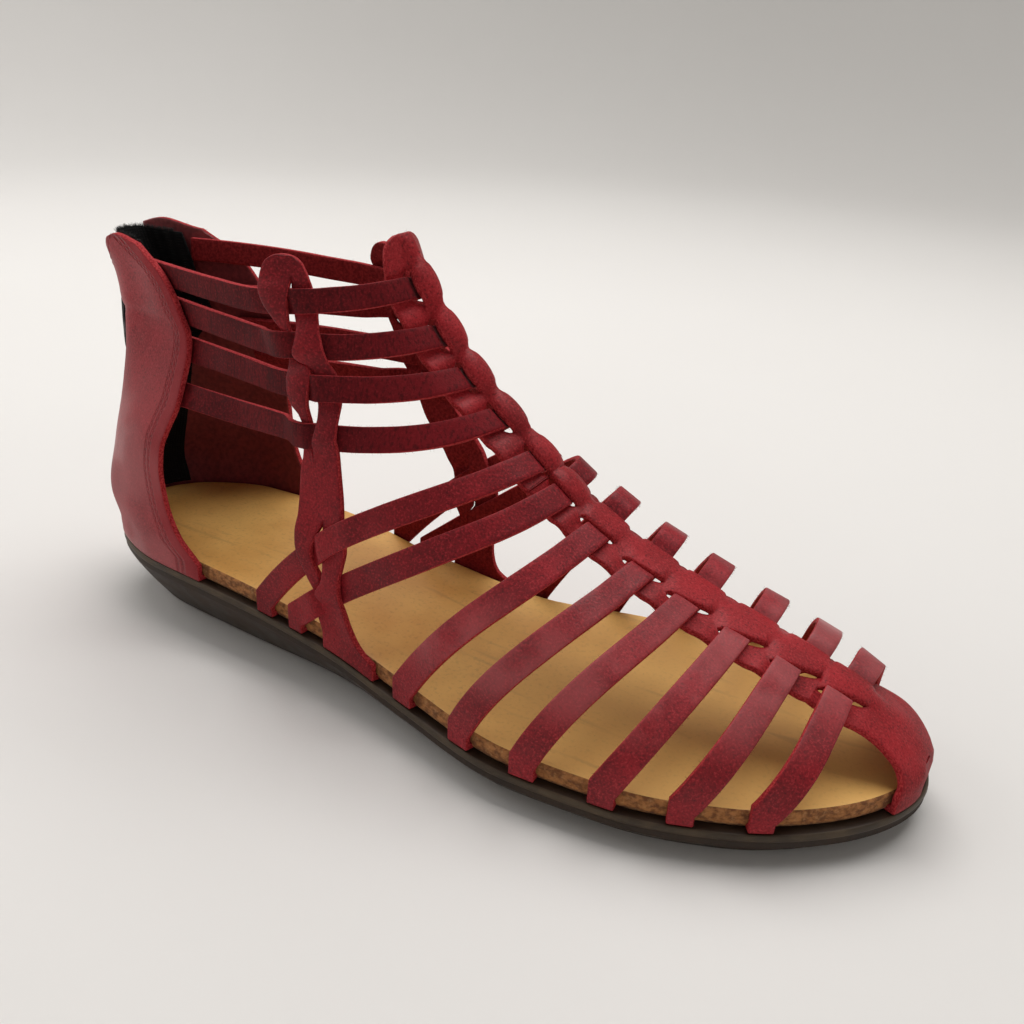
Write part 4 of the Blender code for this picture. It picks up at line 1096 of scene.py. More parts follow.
# %% Counter
COUNTER = (
    ("height", "front"),
    (22.0, 53.0), (25.0, 50.5), (32.0, 43.0), (42.0, 38.4), (52.0, 36.9), (57.5, 36.9), (63.0, 38.4),
    (70.0, 40.6), (80.0, 41.0), (86.0, 41.4), (90.5, 41.2), (95.0, 38.9), (105.0, 31.4), (113.0, 18.0),
)
COUNTER_TOP = (
    ("share", "lateral", "medial"),
    (0.0, 112.0, 113.5), (0.4, 113.5, 114.8), (1.0, 112.5, 112.8),
)
ZIP_SLOT = (
    ("height", "lateral", "medial"),
    (20.0, 0.25, 0.25), (29.0, 0.3, 0.3), (34.0, 3.2, 3.2), (98.0, 3.2, 3.2), (112.0, 8.0, 6.5),
)
COUNTER_THICK = 2.0
MEDIAL_REACH = 3.5      # the inner half reaches this much further forward at the ankle
HEEL_PAD = 1.2          # the padded foot of the heel stands out this much
PAD_HEIGHT = 32.0
PAD_SPREAD = 11.0
# Soft folds across the counter: height, half width of the fold, depth (a ridge has a negative depth)
COUNTER_FOLDS = ((90.5, 1.5, 0.4), (94.0, 2.6, -0.25), (84.0, 5.0, -0.2), (60.0, 9.0, 0.25))


def counter_grid(side, rows=84, columns=44):
    """Inner points, normals and the distances to both edges."""
    share = np.linspace(0.0, 1.0, columns)[None, :]
    rise = np.linspace(0.0, 1.0, rows)[:, None]
    low = float(insole_top(0.0))
    z = low + (smooth(COUNTER_TOP, SIDE_NAME[side], share) - low) * rise
    slot = back_points(side * smooth(ZIP_SLOT, SIDE_NAME[side], z[:, :1]), z[:, :1])[..., 0]
    back = smooth(HEEL, "back", z) - 0.2
    edge = smooth(COUNTER, "front", z)
    if side == MEDIAL:
        edge = edge + MEDIAL_REACH * smoothstep(55.0, 75.0, z) * smoothstep(100.0, 88.0, z)
    first = np.sqrt(np.maximum(slot - back, 0.0) / (edge - back))
    x = back + (edge - back) * (first + (1.0 - first) * share) ** 2
    z = z + (insole_top(x) - low) * (1.0 - rise) ** 4
    points = last_points(x, z, side)
    normals = last_normals(points, side)
    level = 0.5 + 0.5 * smoothstep(0.0, 9.0, z - insole_top(x))
    pad = HEEL_PAD * np.exp(-(((z - PAD_HEIGHT) / PAD_SPREAD) ** 2))
    level = level + pad * smoothstep(0.7, 0.15, share)
    for height, spread, depth in COUNTER_FOLDS:
        fold = np.exp(-(((z - height - 0.06 * x) / spread) ** 2))
        level = level - depth * fold * smoothstep(1.0, 0.8, share)
    step = np.linalg.norm(np.diff(points, axis=1), axis=-1)
    run = np.concatenate((np.zeros((rows, 1)), np.cumsum(step, axis=1)), axis=1)
    slope = np.gradient(edge[:, -1], z[:, -1])
    front_gap = (run[:, -1:] - run) / np.sqrt(1.0 + slope * slope)[:, None]
    return points + normals * level[..., None], normals, front_gap, run


def make_counter(side):
    inner, normals, front_gap, zip_gap = counter_grid(side)
    outer = inner + normals * COUNTER_THICK
    low_end, high_end = tucked_rows(inner[0], normals[0], COUNTER_THICK)
    inner = np.concatenate((low_end[::-1], inner))
    outer = np.concatenate((high_end[::-1], outer))
    name = "counter_" + SIDE_NAME[side]
    thing = cut_sheet(name + "_half", [inner], [outer], [], COUNTER_FINISH, 0.45)
    gaps = np.stack((front_gap, zip_gap), axis=-1)
    gaps = np.concatenate((np.repeat(gaps[:1], 5, axis=0), gaps)).reshape(-1, 2)
    return thing, to_frame(outer).reshape(-1, 3), gaps


def paint_gaps(thing, points, gaps):
    """Gives each corner the edge distances of the nearest grid point, in units of 100 mm."""
    tree = KDTree(len(points))
    for k, point in enumerate(points):
        tree.insert(point, k)
    tree.balance()
    near = np.array([gaps[tree.find(vertex.co)[1]] for vertex in thing.data.vertices])
    layer = thing.data.uv_layers.new(name="gaps")
    corners = np.zeros(len(thing.data.loops), dtype=np.int32)
    thing.data.loops.foreach_get("vertex_index", corners)
    layer.data.foreach_set("uv", (near[corners] * 0.01).astype(np.float32).ravel())


counters = []
for side in (LATERAL, MEDIAL):
    half, grid_points, grid_gaps = make_counter(side)
    paint_gaps(half, grid_points, grid_gaps)
    counters.append(half)
print("counter faces:", [len(half.data.polygons) for half in counters])

# %% [markdown]
# ## Stitching
# Two rows of stitches follow the front edge of each counter half, and one row follows the zip. A
# stitch is a short thread that dives at both ends. Hundreds of them along a path are a job for
# Geometry Nodes: the path is resampled at the stitch pitch and a thread is set on every point.

# %% Thread finish
def make_thread():
    finish = Finish("red_thread", sheen_weight=0.2)
    twist = finish.noise(2600.0, 2.0)
    colour = finish.mix(finish.between(twist, 0.3, 0.7), tint(0.24, 0.012, 0.018), tint(0.42, 0.03, 0.04))
    rough = finish.between(twist, 0.2, 0.8, 0.7, 0.5)
    return finish.use(base_color=colour, roughness=rough, normal=finish.bump(twist, 0.1, 0.6))


thread = make_thread()
print("thread:", thread.name)


# %% Stitch tree
def new_tree(name, inputs):
    """An empty geometry tree with a Geometry input and output and named number inputs."""
    tree = bpy.data.node_groups.new(name, "GeometryNodeTree")
    tree.interface.new_socket("Geometry", in_out="INPUT", socket_type="NodeSocketGeometry")
    for label, value in inputs.items():
        kind = "NodeSocketInt" if isinstance(value, int) else "NodeSocketFloat"
        tree.interface.new_socket(label, in_out="INPUT", socket_type=kind).default_value = value
    tree.interface.new_socket("Geometry", in_out="OUTPUT", socket_type="NodeSocketGeometry")
    return tree, tree.nodes.new("NodeGroupInput"), tree.nodes.new("NodeGroupOutput")


def end_tree(tree, geometry, finish, out):
    real = add_node(tree, "GeometryNodeRealizeInstances", {0: geometry})
    soft = add_node(tree, "GeometryNodeSetShadeSmooth", {0: real.outputs[0]})
    dressed = add_node(tree, "GeometryNodeSetMaterial", {0: soft.outputs[0], "Material": finish})
    tree.links.new(dressed.outputs[0], out.inputs[0])


def run_tree(thing, tree, **values):
    """Runs a tree on an object with the given inputs and keeps the result as a plain mesh."""
    modifier = thing.modifiers.new(tree.name, "NODES")
    modifier.node_group = tree
    for item in tree.interface.items_tree:
        if item.in_out == "INPUT" and item.name.lower() in values:
            modifier[item.identifier] = values[item.name.lower()]
    return settle(thing)


def stitch_tree(finish):
    tree, given, out = new_tree("stitch_row", {"Pitch": 0.003, "Length": 0.0023, "Radius": 0.0003})
    curve = add_node(tree, "GeometryNodeMeshToCurve", {0: given.outputs["Geometry"]})
    pitch = {0: curve.outputs[0], "Length": given.outputs["Pitch"]}
    spaced = add_node(tree, "GeometryNodeResampleCurve", pitch, mode="LENGTH")
    ball = add_node(tree, "GeometryNodeMeshUVSphere", {"Segments": 8, "Rings": 6, "Radius": 0.5})
    radius = given.outputs["Radius"]
    size = add_node(tree, "ShaderNodeCombineXYZ", {0: radius, 1: radius, 2: given.outputs["Length"]})
    tangent = add_node(tree, "GeometryNodeInputTangent")
    turn = add_node(tree, "FunctionNodeAlignRotationToVector", {"Vector": tangent.outputs[0]}, axis="Z")
    placed = add_node(tree, "GeometryNodeInstanceOnPoints", {
        "Points": spaced.outputs[0], "Instance": ball.outputs[0],
        "Rotation": turn.outputs[0], "Scale": size.outputs[0],
    })
    end_tree(tree, placed.outputs[0], finish, out)
    return tree


def path_object(name, paths):
    """A mesh of edges only, one run for each path of points."""
    points = np.concatenate(paths)
    edges = []
    start = 0
    for path in paths:
        edges += [(start + k, start + k + 1) for k in range(len(path) - 1)]
        start += len(path)
    mesh = bpy.data.meshes.new(name)
    mesh.from_pydata(to_frame(points).tolist(), edges, [])
    return link_object(name, mesh)


def counter_path(side, gap, from_zip, low, high):
    """Points on the counter's outer face at a fixed distance from its front or zip edge."""
    inner, normals, front_gap, zip_gap = counter_grid(side)
    outer = inner + normals * (COUNTER_THICK - 0.06)
    path = []
    for i in range(len(outer)):
        if not low <= outer[i, 0, 2] <= high:
            continue
        gaps = zip_gap[i] if from_zip else front_gap[i, ::-1]
        row = outer[i] if from_zip else outer[i, ::-1]
        path.append([np.interp(gap, gaps, row[:, k]) for k in range(3)])
    return np.array(path)


rows_of_thread = stitch_tree(thread)
stitches = []
for side in (LATERAL, MEDIAL):
    paths = [counter_path(side, 4.5, False, 27.0, 109.5), counter_path(side, 6.2, False, 27.0, 110.0),
             counter_path(side, 2.6, True, 27.0, 111.0)]
    row = path_object("stitches_" + SIDE_NAME[side], paths)
    stitches.append(run_tree(row, rows_of_thread, pitch=0.0022, length=0.0019, radius=0.00046))
print("stitch faces:", [len(row.data.polygons) for row in stitches])

# %% [markdown]
# ## Zip
# A zip closes the heel. Its woven tape and a wider guard lie inside the counter, and the top edge of
# the guard is frayed. The teeth alternate from side to side, one every 1.3 millimetres, so Geometry
# Nodes set them along the back line. The slider is a small plate with a wire bail, and the pull tab
# hangs from the bail. The pull is a body of its own, because it swings.

# %% Zip finishes
def make_tape_weave():
    finish = Finish("zip_weave", specular_ior_level=0.12)
    threads = {"Vector": finish.where, "Scale": 420.0, "Distortion": 0.6}
    warp = finish.node("ShaderNodeTexWave", threads, bands_direction="Z").outputs[1]
    weft = finish.node("ShaderNodeTexWave", threads, bands_direction="Y").outputs[1]
    weave = finish.math("MULTIPLY", warp, weft)
    lint = finish.noise(500.0, 3.0)
    colour = finish.mix(weave, tint(0.0025, 0.0025, 0.003), tint(0.009, 0.0085, 0.009))
    colour = finish.mix(finish.between(lint, 0.6, 0.8, 0.0, 0.3), colour, tint(0.02, 0.018, 0.018))
    rough = finish.between(lint, 0.2, 0.8, 0.9, 0.7)
    return finish.use(base_color=colour, roughness=rough, normal=finish.bump(weave, 0.15, 0.8))


def make_gun_metal():
    finish = Finish("gun_metal", metallic=1.0)
    colour_marks = finish.noise(220.0, 4.0)
    fine = finish.noise(1.0, 3.0, 0.6, finish.stretched((300.0, 2500.0, 120.0)))
    colour = finish.mix(finish.between(colour_marks, 0.35, 0.7), tint(0.035, 0.034, 0.036), tint(0.10, 0.098, 0.10))
    rough = finish.between(fine, 0.3, 0.7, 0.3, 0.48)
    return finish.use(base_color=colour, roughness=rough, normal=finish.bump(fine, 0.02, 0.4))


tape_weave = make_tape_weave()
gun_metal = make_gun_metal()
print("zip finishes:", tape_weave.name, gun_metal.name)


# %% Tape and guard
def back_sheet(name, half, ends, level, thick, finish, columns=25, rows=60):
    """A strip up the back line of the heel; half is a table of height and half width."""
    z = np.linspace(*ends, rows)[:, None]
    y = smooth(half, "half", z) * np.linspace(-1.0, 1.0, columns)[None, :]
    points = back_points(y, np.broadcast_to(z, y.shape))
    normals = two_sided_normals(points, y)
    inner = points + normals * level
    return cut_sheet(name, [inner], [inner + normals * thick], [], (finish, finish, finish), 0.2, False)


TAPE_HALF = (("height", "half"), (20.0, 9.0), (120.0, 9.0))
GUARD_HALF = (("height", "half"), (20.0, 13.6), (60.0, 13.2), (85.0, 11.5), (100.0, 10.3), (112.0, 10.0))
tape = back_sheet("tape", TAPE_HALF, (37.0, 109.0), -0.9, 1.0, tape_weave)
guard = back_sheet("zip_guard", GUARD_HALF, (26.5, 111.5), -2.3, 0.9, tape_weave)
print("tape faces:", len(tape.data.polygons), "guard faces:", len(guard.data.polygons))


# %% Teeth
def teeth_tree(finish):
    tree, given, out = new_tree("zip_teeth", {"Pitch": 0.0013, "Reach": 0.0008})
    curve = add_node(tree, "GeometryNodeMeshToCurve", {0: given.outputs["Geometry"]})
    pitch = {0: curve.outputs[0], "Length": given.outputs["Pitch"]}
    spaced = add_node(tree, "GeometryNodeResampleCurve", pitch, mode="LENGTH")
    index = add_node(tree, "GeometryNodeInputIndex")
    odd = add_node(tree, "ShaderNodeMath", {0: index.outputs[0], 1: 2.0}, operation="MODULO")
    side = add_node(tree, "ShaderNodeMath", {0: odd.outputs[0], 1: 0.5}, operation="SUBTRACT")
    reach = {0: side.outputs[0], 1: given.outputs["Reach"]}
    shift = add_node(tree, "ShaderNodeMath", reach, operation="MULTIPLY")
    move = add_node(tree, "ShaderNodeCombineXYZ", {1: shift.outputs[0]})
    points = add_node(tree, "GeometryNodeCurveToPoints", {0: spaced.outputs[0]}, mode="EVALUATED")
    moved = add_node(tree, "GeometryNodeSetPosition", {0: points.outputs[0], "Offset": move.outputs[0]})
    block = add_node(tree, "GeometryNodeMeshCylinder", {"Vertices": 8, "Radius": 0.5, "Depth": 1.0})
    placed = add_node(tree, "GeometryNodeInstanceOnPoints", {
        "Points": moved.outputs[0], "Instance": block.outputs[0], "Rotation": points.outputs["Rotation"],
        "Scale": (0.0016, 0.0042, 0.0009),
    })
    end_tree(tree, placed.outputs[0], finish, out)
    return tree


SLIDER_HEIGHT = 97.0
chain_z = np.linspace(30.5, SLIDER_HEIGHT, 120)
chain_base = back_points(np.zeros(len(chain_z)), chain_z)
chain_up = last_normals(chain_base, LATERAL)
teeth = path_object("zip_teeth", [chain_base + chain_up * 1.7])
run_tree(teeth, teeth_tree(gun_metal), pitch=0.0013, reach=0.0016)
print("teeth faces:", len(teeth.data.polygons))


# %% Slider and pull
def plate_points(corners, low, high):
    """A flat plate between two levels; corners are side and length positions."""
    flat = np.array(corners, dtype=float)
    return [np.concatenate((np.full((len(flat), 1), level), flat), axis=1) for level in (low, high)]


def plate_mesh(rings, holes=()):
    """Faces of a plate between two rings of points, with an optional ring-shaped hole of equal count."""
    count = len(rings[0])
    points = list(rings[0]) + list(rings[1])
    faces = [(k, (k + 1) % count, count + (k + 1) % count, count + k) for k in range(count)]
    if not len(holes):
        return points, faces + [tuple(range(count))[::-1], tuple(range(count, 2 * count))]
    base = 2 * count
    points += list(holes[0]) + list(holes[1])
    for k in range(count):
        after = (k + 1) % count
        faces.append((base + after, base + k, base + count + k, base + count + after))
        faces.append((after, k, base + k, base + after))
        faces.append((count + k, count + after, base + count + after, base + count + k))
    return points, faces


def hardware(name, points, faces, finish, edge):
    mesh = bpy.data.meshes.new(name)
    mesh.from_pydata((np.asarray(points) * MM).tolist(), [], faces)
    work = bmesh.new()
    work.from_mesh(mesh)
    bmesh.ops.recalc_face_normals(work, faces=work.faces)
    work.to_mesh(mesh)
    work.free()
    mesh.materials.append(finish)
    mesh.shade_smooth()
    return round_edges(link_object(name, mesh), edge, 2, 40.0)


def place_on_heel(thing, origin, lean):
    """Writes the turn and the place of a small part into its mesh."""
    turn = Matrix.Rotation(lean, 4, "Y")
    thing.data.transform(Matrix.Translation(to_frame(origin).tolist()) @ turn)
    return thing


slider_base = back_points(np.array((0.0,)), np.array((SLIDER_HEIGHT,)))
slider_up = last_normals(slider_base, LATERAL)[0]
slider_base = slider_base[0]
slider_lean = math.atan2(slider_up[2], -slider_up[0])
SLIDER_HALF = ((1.6, 4.4), (3.4, 3.2), (3.5, 1.0), (2.6, -2.6), (1.9, -4.4))
SLIDER_SHAPE = ((-1.6, 4.4),) + SLIDER_HALF + tuple((-y, z) for y, z in SLIDER_HALF[:0:-1])
slider = hardware("slider_plate", *plate_mesh(plate_points(SLIDER_SHAPE, -4.7, -3.1)), gun_metal, 0.45)
place_on_heel(slider, slider_base, slider_lean)


def bail_points(radius, wire, steps=16, sides=8):
    """A half ring of wire that stands on the slider plate."""
    rings = []
    for a in np.linspace(-0.12 * math.pi, 1.12 * math.pi, steps):
        out = np.array((-math.sin(a), 0.0, math.cos(a)))
        rings.append([out * (radius + wire * math.cos(b)) + np.array((0.0, wire * math.sin(b), 0.0))
                      for b in np.linspace(0.0, 2.0 * math.pi, sides, endpoint=False)])
    points = [point for ring in rings for point in ring]
    faces = []
    for k in range(steps - 1):
        for j in range(sides):
            after = (j + 1) % sides
            faces.append((k * sides + j, k * sides + after, (k + 1) * sides + after, (k + 1) * sides + j))
    faces += [tuple(range(sides)), tuple(range((steps - 1) * sides, steps * sides))]
    return points, faces


bail = hardware("slider_bail", *bail_points(2.6, 0.6), gun_metal, 0.08)
place_on_heel(bail, slider_base + slider_up * 4.7, slider_lean)

hinge = slider_base + slider_up * 5.75
turn = np.linspace(0.0, 2.0 * math.pi, 32, endpoint=False)


def rounded_box(half_width, top, low, power=5.0):
    """A ring of points round a rounded box: side and length positions."""
    middle = 0.5 * (top + low)
    c = np.cos(turn)
    s = np.sin(turn)
    return np.stack((half_width * np.sign(c) * np.abs(c) ** (2.0 / power),
                     middle + 0.5 * (top - low) * np.sign(s) * np.abs(s) ** (2.0 / power)), axis=-1)


tab = rounded_box(3.3, 0.5, -22.5)
tab[:, 0] = tab[:, 0] * (0.85 + 0.15 * smoothstep(0.0, -8.0, tab[:, 1]))
eye = rounded_box(1.1, -0.5, -3.8, 4.0)
tab_plate = plate_mesh(plate_points(tab, -0.5, 0.5), plate_points(eye, -0.5, 0.5))
pull = hardware("pull_tab", *tab_plate, gun_metal, 0.22)
pull.data.transform(Matrix.Translation(to_frame(hinge).tolist()))
window = rounded_box(2.0, -8.0, -20.0, 4.0)
inlay = hardware("pull_inlay", *plate_mesh(plate_points(window, -0.68, -0.4)), gun_metal, 0.12)
inlay.data.transform(Matrix.Translation(to_frame(hinge).tolist()))
print("hinge of the pull at", np.round(to_frame(hinge), 5))

# %% [markdown]
# ## Insole
# The insole is a leather-covered board, tan on top, with a speckled edge like cork. Its outline is the
# foot's own plan, given by the same table as the last. The top is a grid between both edges, with a
# rounded rim, and it dips a little where heel and ball of the foot press it.

# %% Insole finishes
def make_tan_leather():
    finish = Finish("tan_leather_top", specular_ior_level=0.35)
    cloud = finish.between(finish.noise(30.0, 4.0), 0.3, 0.7)
    grain = finish.noise(900.0, 3.0)
    colour = finish.mix(cloud, tint(0.68, 0.33, 0.080), tint(0.86, 0.50, 0.145))
    colour = finish.mix(finish.between(grain, 0.5, 0.75, 0.0, 0.3), colour, tint(0.36, 0.17, 0.05))
    # Painted light: the top is painted brighter towards the forefoot, where the straps shade it.
    along = finish.node("ShaderNodeSeparateXYZ", {0: finish.where}).outputs[0]
    colour = finish.mix(finish.between(along, -0.01, 0.07, 0.0, 0.5), colour, tint(0.95, 0.56, 0.17))
    streak = finish.noise(1.0, 3.0, 0.5, finish.stretched((35.0, 260.0, 60.0)))
    colour = finish.mix(finish.between(streak, 0.58, 0.78, 0.0, 0.3), colour, tint(0.33, 0.16, 0.06))
    dots = finish.between(finish.cells(75.0), 0.016, 0.03, 0.85, 0.0)
    colour = finish.mix(dots, colour, tint(0.05, 0.025, 0.012))
    rough = finish.between(cloud, 0.0, 1.0, 0.42, 0.58)
    normal = finish.bump(grain, 0.08, 0.4)
    normal = finish.bump(finish.noise(60.0, 3.0), 0.5, 0.25, normal)
    return finish.use(base_color=colour, roughness=rough, normal=normal)


def make_board_edge():
    finish = Finish("board_edge", sheen_weight=0.05)
    crumbs = finish.noise(1.0, 3.0, 0.6, finish.stretched((520.0, 520.0, 760.0)))
    flakes = finish.noise(800.0, 3.0)
    dark = tint(0.17, 0.060, 0.017)
    colour = finish.mix(finish.between(crumbs, 0.35, 0.65), dark, tint(0.43, 0.175, 0.050))
    colour = finish.mix(finish.between(flakes, 0.55, 0.75, 0.0, 0.6), colour, tint(0.52, 0.260, 0.085))
    rough = finish.between(flakes, 0.2, 0.8, 0.95, 0.75)
    return finish.use(base_color=colour, roughness=rough, normal=finish.bump(flakes, 0.3, 0.8))


INSOLE_FINISH = (make_tan_leather(), make_board_edge())
print("insole finishes:", [finish.name for finish in INSOLE_FINISH])


# %% Plan rings
def plan_ring(offset, steps=110):
    """A closed ring of plan points, moved outwards by an offset for each station."""
    x = 0.5 * FOOT_LENGTH * (1.0 - np.cos(np.linspace(0.0, math.pi, steps + 1)))
    lateral = np.stack((x, centre_line(x) - outline(x, LATERAL)), axis=-1)
    medial = np.stack((x, centre_line(x) + outline(x, MEDIAL)), axis=-1)
    ring = np.concatenate((lateral, medial[-2:0:-1]))
    along = unit(np.roll(ring, -1, axis=0) - np.roll(ring, 1, axis=0))
    outward = np.stack((along[:, 1], -along[:, 0]), axis=-1)
    amount = offset(ring[:, 0]) if callable(offset) else np.full(len(ring), float(offset))
    return ring + outward * amount[:, None]


def with_heights(flat, height):
    return np.concatenate((flat, height(flat[..., :1])), axis=-1)


def ring_solid(name, rings, kinds_of_wall, caps, finishes, columns=28):
    """A solid from a stack of rings; the caps are grids between both edges of the end rings."""
    count = len(rings[0])
    steps = count // 2
    points = list(np.concatenate(rings))
    faces = []
    kinds = []
    for k in range(len(rings) - 1):
        for i in range(count):
            after = (i + 1) % count
            faces.append((k * count + i, (k + 1) * count + i, (k + 1) * count + after, k * count + after))
            kinds.append(kinds_of_wall[k])
    ends = ((0, caps[0], 0, False), ((len(rings) - 1) * count, caps[1], kinds_of_wall[-1], True))
    for base, height, kind, flip in ends:
        grid = np.empty((steps + 1, columns), dtype=int)
        for i in range(steps + 1):
            a = base + i
            b = base + (count - i) % count
            grid[i, 0] = a
            grid[i, -1] = b
            for j in range(1, columns - 1):
                share = j / (columns - 1)
                flat = points[a] * (1.0 - share) + points[b] * share
                grid[i, j] = len(points) if a != b else a
                if a != b:
                    points.append(np.array((flat[0], flat[1], float(height(flat[0], flat[1])))))
        for i in range(steps):
            for j in range(columns - 1):
                corners = (grid[i, j], grid[i + 1, j], grid[i + 1, j + 1], grid[i, j + 1])
                quad = tuple(dict.fromkeys(corners))
                if len(quad) > 2:
                    faces.append(quad[::-1] if flip else quad)
                    kinds.append(kind)
    return link_object(name, new_mesh(name, np.array(points), faces, kinds, finishes))


def insole_surface(x, y):
    """Top of the insole, pressed in a little under heel and ball."""
    heel = 0.5 * np.exp(-(((x - 34.0) / 22.0) ** 2 + (y / 15.0) ** 2))
    ball = 0.45 * np.exp(-(((x - 182.0) / 24.0) ** 2 + ((y - 3.0) / 22.0) ** 2))
    return insole_top(x) - heel - ball


EDGE_HEIGHT = 5.15
INSOLE_PROFILE = (
    ("inset", "drop", "kind"),
    (-1.0, 0.0, 0), (-0.45, 0.08, 0), (-0.12, 0.32, 1), (0.0, 0.7, 1), (0.0, 2.0, 1),
    (0.0, 3.6, 1), (-0.2, 4.3, 1), (-0.9, 4.5, 1), (-1.0, EDGE_HEIGHT, 1),
)
insole_rings = [
    with_heights(plan_ring(inset), lambda x, d=drop: insole_top(x) - d)
    for inset, drop, _ in INSOLE_PROFILE[1:]
]
insole = ring_solid("insole_board", insole_rings, [row[2] for row in INSOLE_PROFILE[2:]],
                    (insole_surface, lambda x, y: insole_top(x) - EDGE_HEIGHT), INSOLE_FINISH)
print("insole faces:", len(insole.data.polygons))

# %% [markdown]
# ## Outsole
# The outsole is one moulded rubber wedge with a thin lip along its rim. It is a stack of rings, each
# the foot's plan moved in or out, from the lip down to the tread. At the toe the wall carries a few
# fine moulded ridges, which are part of the rings as a small wave that fades out towards the waist.

# %% Outsole finish
def make_rubber(name, dark, light):
    finish = Finish(name, specular_ior_level=0.28)
    cloud = finish.noise(120.0, 4.0)
    grit = finish.noise(1600.0, 2.0)
    colour = finish.mix(finish.between(cloud, 0.3, 0.7), dark, light)
    colour = finish.mix(finish.between(grit, 0.62, 0.8, 0.0, 0.35), colour, tint(0.095, 0.065, 0.045))
    rough = finish.between(cloud, 0.3, 0.7, 0.42, 0.58)
    return finish.use(base_color=colour, roughness=rough, normal=finish.bump(grit, 0.08, 0.4))


rubber = make_rubber("brown_rubber_wall", tint(0.026, 0.0150, 0.0090), tint(0.043, 0.0265, 0.0165))
rubber_lip = make_rubber("brown_rubber_lip", tint(0.045, 0.030, 0.018), tint(0.085, 0.058, 0.034))
print("rubbers:", rubber.name, rubber_lip.name)

# %% Outsole
RIM_OFFSET = 2.4
LIP = 1.8
GROOVE = 0.9


def outsole_top(x):
    return insole_top(x) - INSOLE_THICK - COUNTER_THICK - 0.6


def tread(x):
    return smooth(SOLE, "lift", x)


def taper(x):
    return smooth(SOLE, "taper", x)


def wall_ring(share):
    """A ring of the side wall, part of the way from the groove down to the rounded lower edge."""
    def offset(x):
        ridges = 0.22 * np.sin(2.0 * math.pi * 4.5 * share) * smoothstep(205.0, 238.0, x)
        ridges = ridges * smoothstep(1.0, 0.8, share) * smoothstep(0.0, 0.08, share)
        return RIM_OFFSET - 0.2 - 0.85 * taper(x) * share ** 1.15 + ridges

    def height(x):
        top = outsole_top(x) - LIP - 2.0 * GROOVE
        return top + (tread(x) + 1.4 - top) * share

    return with_heights(plan_ring(offset), height)


def rim_ring(offset, drop):
    return with_heights(plan_ring(offset), lambda x: outsole_top(x) - drop)


def low_ring(inset, rise):
    flat = plan_ring(lambda x: RIM_OFFSET - 0.2 - inset - taper(x))
    return with_heights(flat, lambda x: tread(x) + rise)


outsole_rings = [
    rim_ring(RIM_OFFSET - 0.5, 0.0), rim_ring(RIM_OFFSET - 0.15, 0.08), rim_ring(RIM_OFFSET, 0.35),
    rim_ring(RIM_OFFSET + 0.2, LIP - 0.5), rim_ring(RIM_OFFSET + 0.1, LIP - 0.1),
    rim_ring(RIM_OFFSET - 0.7, LIP + 0.6 * GROOVE), rim_ring(RIM_OFFSET - 0.75, LIP + GROOVE),
]
lip_count = len(outsole_rings)
outsole_rings += [wall_ring(share) for share in np.linspace(0.0, 1.0, 30)]
outsole_rings += [low_ring(0.1, 0.75), low_ring(0.45, 0.3), low_ring(1.4, 0.0)]
outsole_kinds = [1] * (lip_count - 2) + [0] * (len(outsole_rings) - lip_count + 1)
outsole = ring_solid("outsole_unit", outsole_rings, outsole_kinds,
                     (lambda x, y: outsole_top(x), lambda x, y: tread(x)), (rubber, rubber_lip))
print("outsole faces:", len(outsole.data.polygons))

# %% [markdown]
# ## Loose fibres
# Cut leather sheds fibres, which show as a fine fuzz along the strap edges, and the guard of the zip
# is frayed. Both are thin tapered hairs on the cut edges. Geometry Nodes scatter them with a fixed
# seed and turn each a little, which no modelling by hand could do as evenly.

# %% Fibre tree
def make_fibre(name, dark, light):
    finish = Finish(name)
    shade = finish.noise(900.0, 1.0)
    colour = finish.mix(finish.between(shade, 0.3, 0.7), dark, light)
    return finish.use(base_color=colour, roughness=finish.between(shade, 0.0, 1.0, 0.7, 0.95))


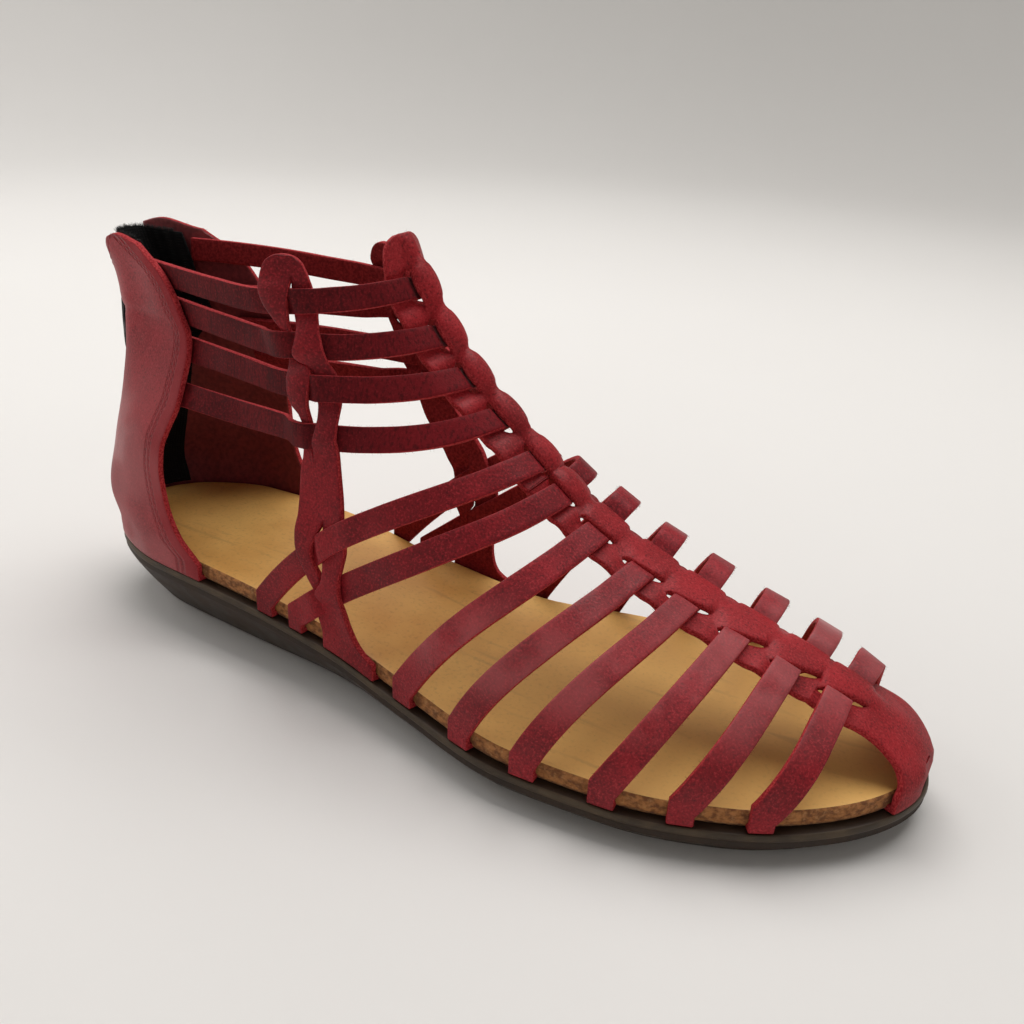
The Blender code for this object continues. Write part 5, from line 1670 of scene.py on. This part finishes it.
def fibre_tree(name, finish):
    sizes = {"Density": 1.0, "Longest": 0.001, "Thickness": 0.00004, "Tilt": 0.8, "Seed": 1}
    tree, given, out = new_tree(name, sizes)
    value = given.outputs
    where = {0: value["Geometry"], "Density": value["Density"], "Seed": value["Seed"]}
    spread = add_node(tree, "GeometryNodeDistributePointsOnFaces", where)
    shape = {"Vertices": 3, "Radius Top": 0.15, "Radius Bottom": 0.5, "Depth": 1.0}
    cone = add_node(tree, "GeometryNodeMeshCone", shape)
    low_tilt = add_node(tree, "ShaderNodeMath", {0: value["Tilt"], 1: -1.0}, operation="MULTIPLY")
    low = add_node(tree, "ShaderNodeCombineXYZ", {0: low_tilt.outputs[0], 1: low_tilt.outputs[0]})
    high = add_node(tree, "ShaderNodeCombineXYZ", {0: value["Tilt"], 1: value["Tilt"], 2: 6.28})
    leans = {0: low.outputs[0], 1: high.outputs[0], "Seed": value["Seed"]}
    lean = add_node(tree, "FunctionNodeRandomValue", leans, data_type="FLOAT_VECTOR")
    turn = add_node(tree, "FunctionNodeEulerToRotation", {0: lean.outputs[0]})
    turns = {0: spread.outputs["Rotation"], 1: turn.outputs[0]}
    turned = add_node(tree, "FunctionNodeRotateRotation", turns, rotation_space="LOCAL")
    third = add_node(tree, "ShaderNodeMath", {0: value["Longest"], 1: 0.3}, operation="MULTIPLY")
    lengths = {2: third.outputs[0], 3: value["Longest"], "Seed": value["Seed"]}
    length = add_node(tree, "FunctionNodeRandomValue", lengths, data_type="FLOAT")
    scales = {0: value["Thickness"], 1: value["Thickness"], 2: length.outputs[1]}
    size = add_node(tree, "ShaderNodeCombineXYZ", scales)
    placed = add_node(tree, "GeometryNodeInstanceOnPoints", {
        "Points": spread.outputs[0], "Instance": cone.outputs[0],
        "Rotation": turned.outputs[0], "Scale": size.outputs[0],
    })
    end_tree(tree, placed.outputs[0], finish, out)
    return tree


def patch_object(name, quads):
    """A mesh of loose quads to scatter on."""
    points = np.concatenate(quads)
    mesh = bpy.data.meshes.new(name)
    faces = [tuple(range(4 * k, 4 * k + 4)) for k in range(len(quads))]
    mesh.from_pydata(to_frame(points).tolist(), [], faces)
    return link_object(name, mesh)


# %% Fuzz and fray
red_fibre = make_fibre("red_fibre", tint(0.10, 0.006, 0.01), tint(0.30, 0.03, 0.04))
black_fibre = make_fibre("black_fibre", tint(0.002, 0.002, 0.0025), tint(0.008, 0.0075, 0.008))
fuzz = run_tree(patch_object("edge_fuzz", rim_faces), fibre_tree("leather_fuzz", red_fibre),
                density=550000.0, longest=0.0009, thickness=0.00005, tilt=1.0, seed=7)
GUARD_TOP = 111.3
GUARD_STEPS = 24
guard_y = np.linspace(-9.4, 9.4, GUARD_STEPS)
guard_line = back_points(guard_y, np.full(GUARD_STEPS, GUARD_TOP))
guard_in = two_sided_normals(guard_line, guard_y)
fray_inner = guard_line - guard_in * 2.2
fray_outer = guard_line - guard_in * 1.5
fray_quads = [
    np.array((fray_inner[k], fray_inner[k + 1], fray_outer[k + 1], fray_outer[k]))
    for k in range(GUARD_STEPS - 1)
]
fray = run_tree(patch_object("guard_fray", fray_quads), fibre_tree("guard_fray_tree", black_fibre),
                density=45000000.0, longest=0.0017, thickness=0.00014, tilt=0.7, seed=11)
print("fuzz faces:", len(fuzz.data.polygons), "fray faces:", len(fray.data.polygons))

# %% [markdown]
# ## Handing over
# Each finished piece is attached to the body it rides on, and the solid it stands for is hidden.
# Only the pull tab rides on the pull, and the rest are one shoe.

# %% Floor finish
def make_paper():
    finish = Finish("paper_sweep", roughness=0.9)
    tone = finish.noise(3.0, 2.0)
    colour = finish.mix(tone, tint(0.77, 0.75, 0.73), tint(0.81, 0.795, 0.775))
    # Painted shade: the sweep is painted darker towards its back, where less light reaches.
    depth = finish.node("ShaderNodeSeparateXYZ", {0: finish.where}).outputs[1]
    colour = finish.mix(finish.between(depth, 0.3, 1.5, 0.0, 0.55), colour, tint(0.42, 0.41, 0.39))
    return finish.use(base_color=colour, normal=finish.bump(finish.noise(700.0, 2.0), 0.03, 0.2))


floor.data.materials.append(make_paper())
print("floor finish:", floor.data.materials[0].name)


# %% Bodies and solids
def hand_over(things, slot, *nodes, body="shoe"):
    for thing in things:
        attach(thing, body)
        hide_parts(*nodes)


hand_over([spine] + cross_straps + side_straps + [fuzz], "red_leather", "upper")
for half, row, side in zip(counters, stitches, (LATERAL, MEDIAL)):
    hand_over([half, row], "red_leather", "counter_" + SIDE_NAME[side])
hand_over([tape, guard, fray], "black_tape", "zip_tape")
hand_over([teeth], "dark_metal", "zip_chain")
hand_over([slider, bail], "dark_metal", "zip_slider")
hand_over([pull, inlay], "dark_metal", "zip_pull", body="pull")
hand_over([insole], "tan_leather", "insole")
hand_over([outsole], "brown_rubber", "outsole")
meshes = [thing for thing in bpy.data.objects if thing.type == "MESH"]
pieces = [thing for thing in meshes if "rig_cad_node" not in thing and thing is not floor]
triangles = {thing.name: sum(len(face.vertices) - 2 for face in thing.data.polygons) for thing in pieces}
print("triangles:", sum(triangles.values()), "largest:", max(triangles.values()))
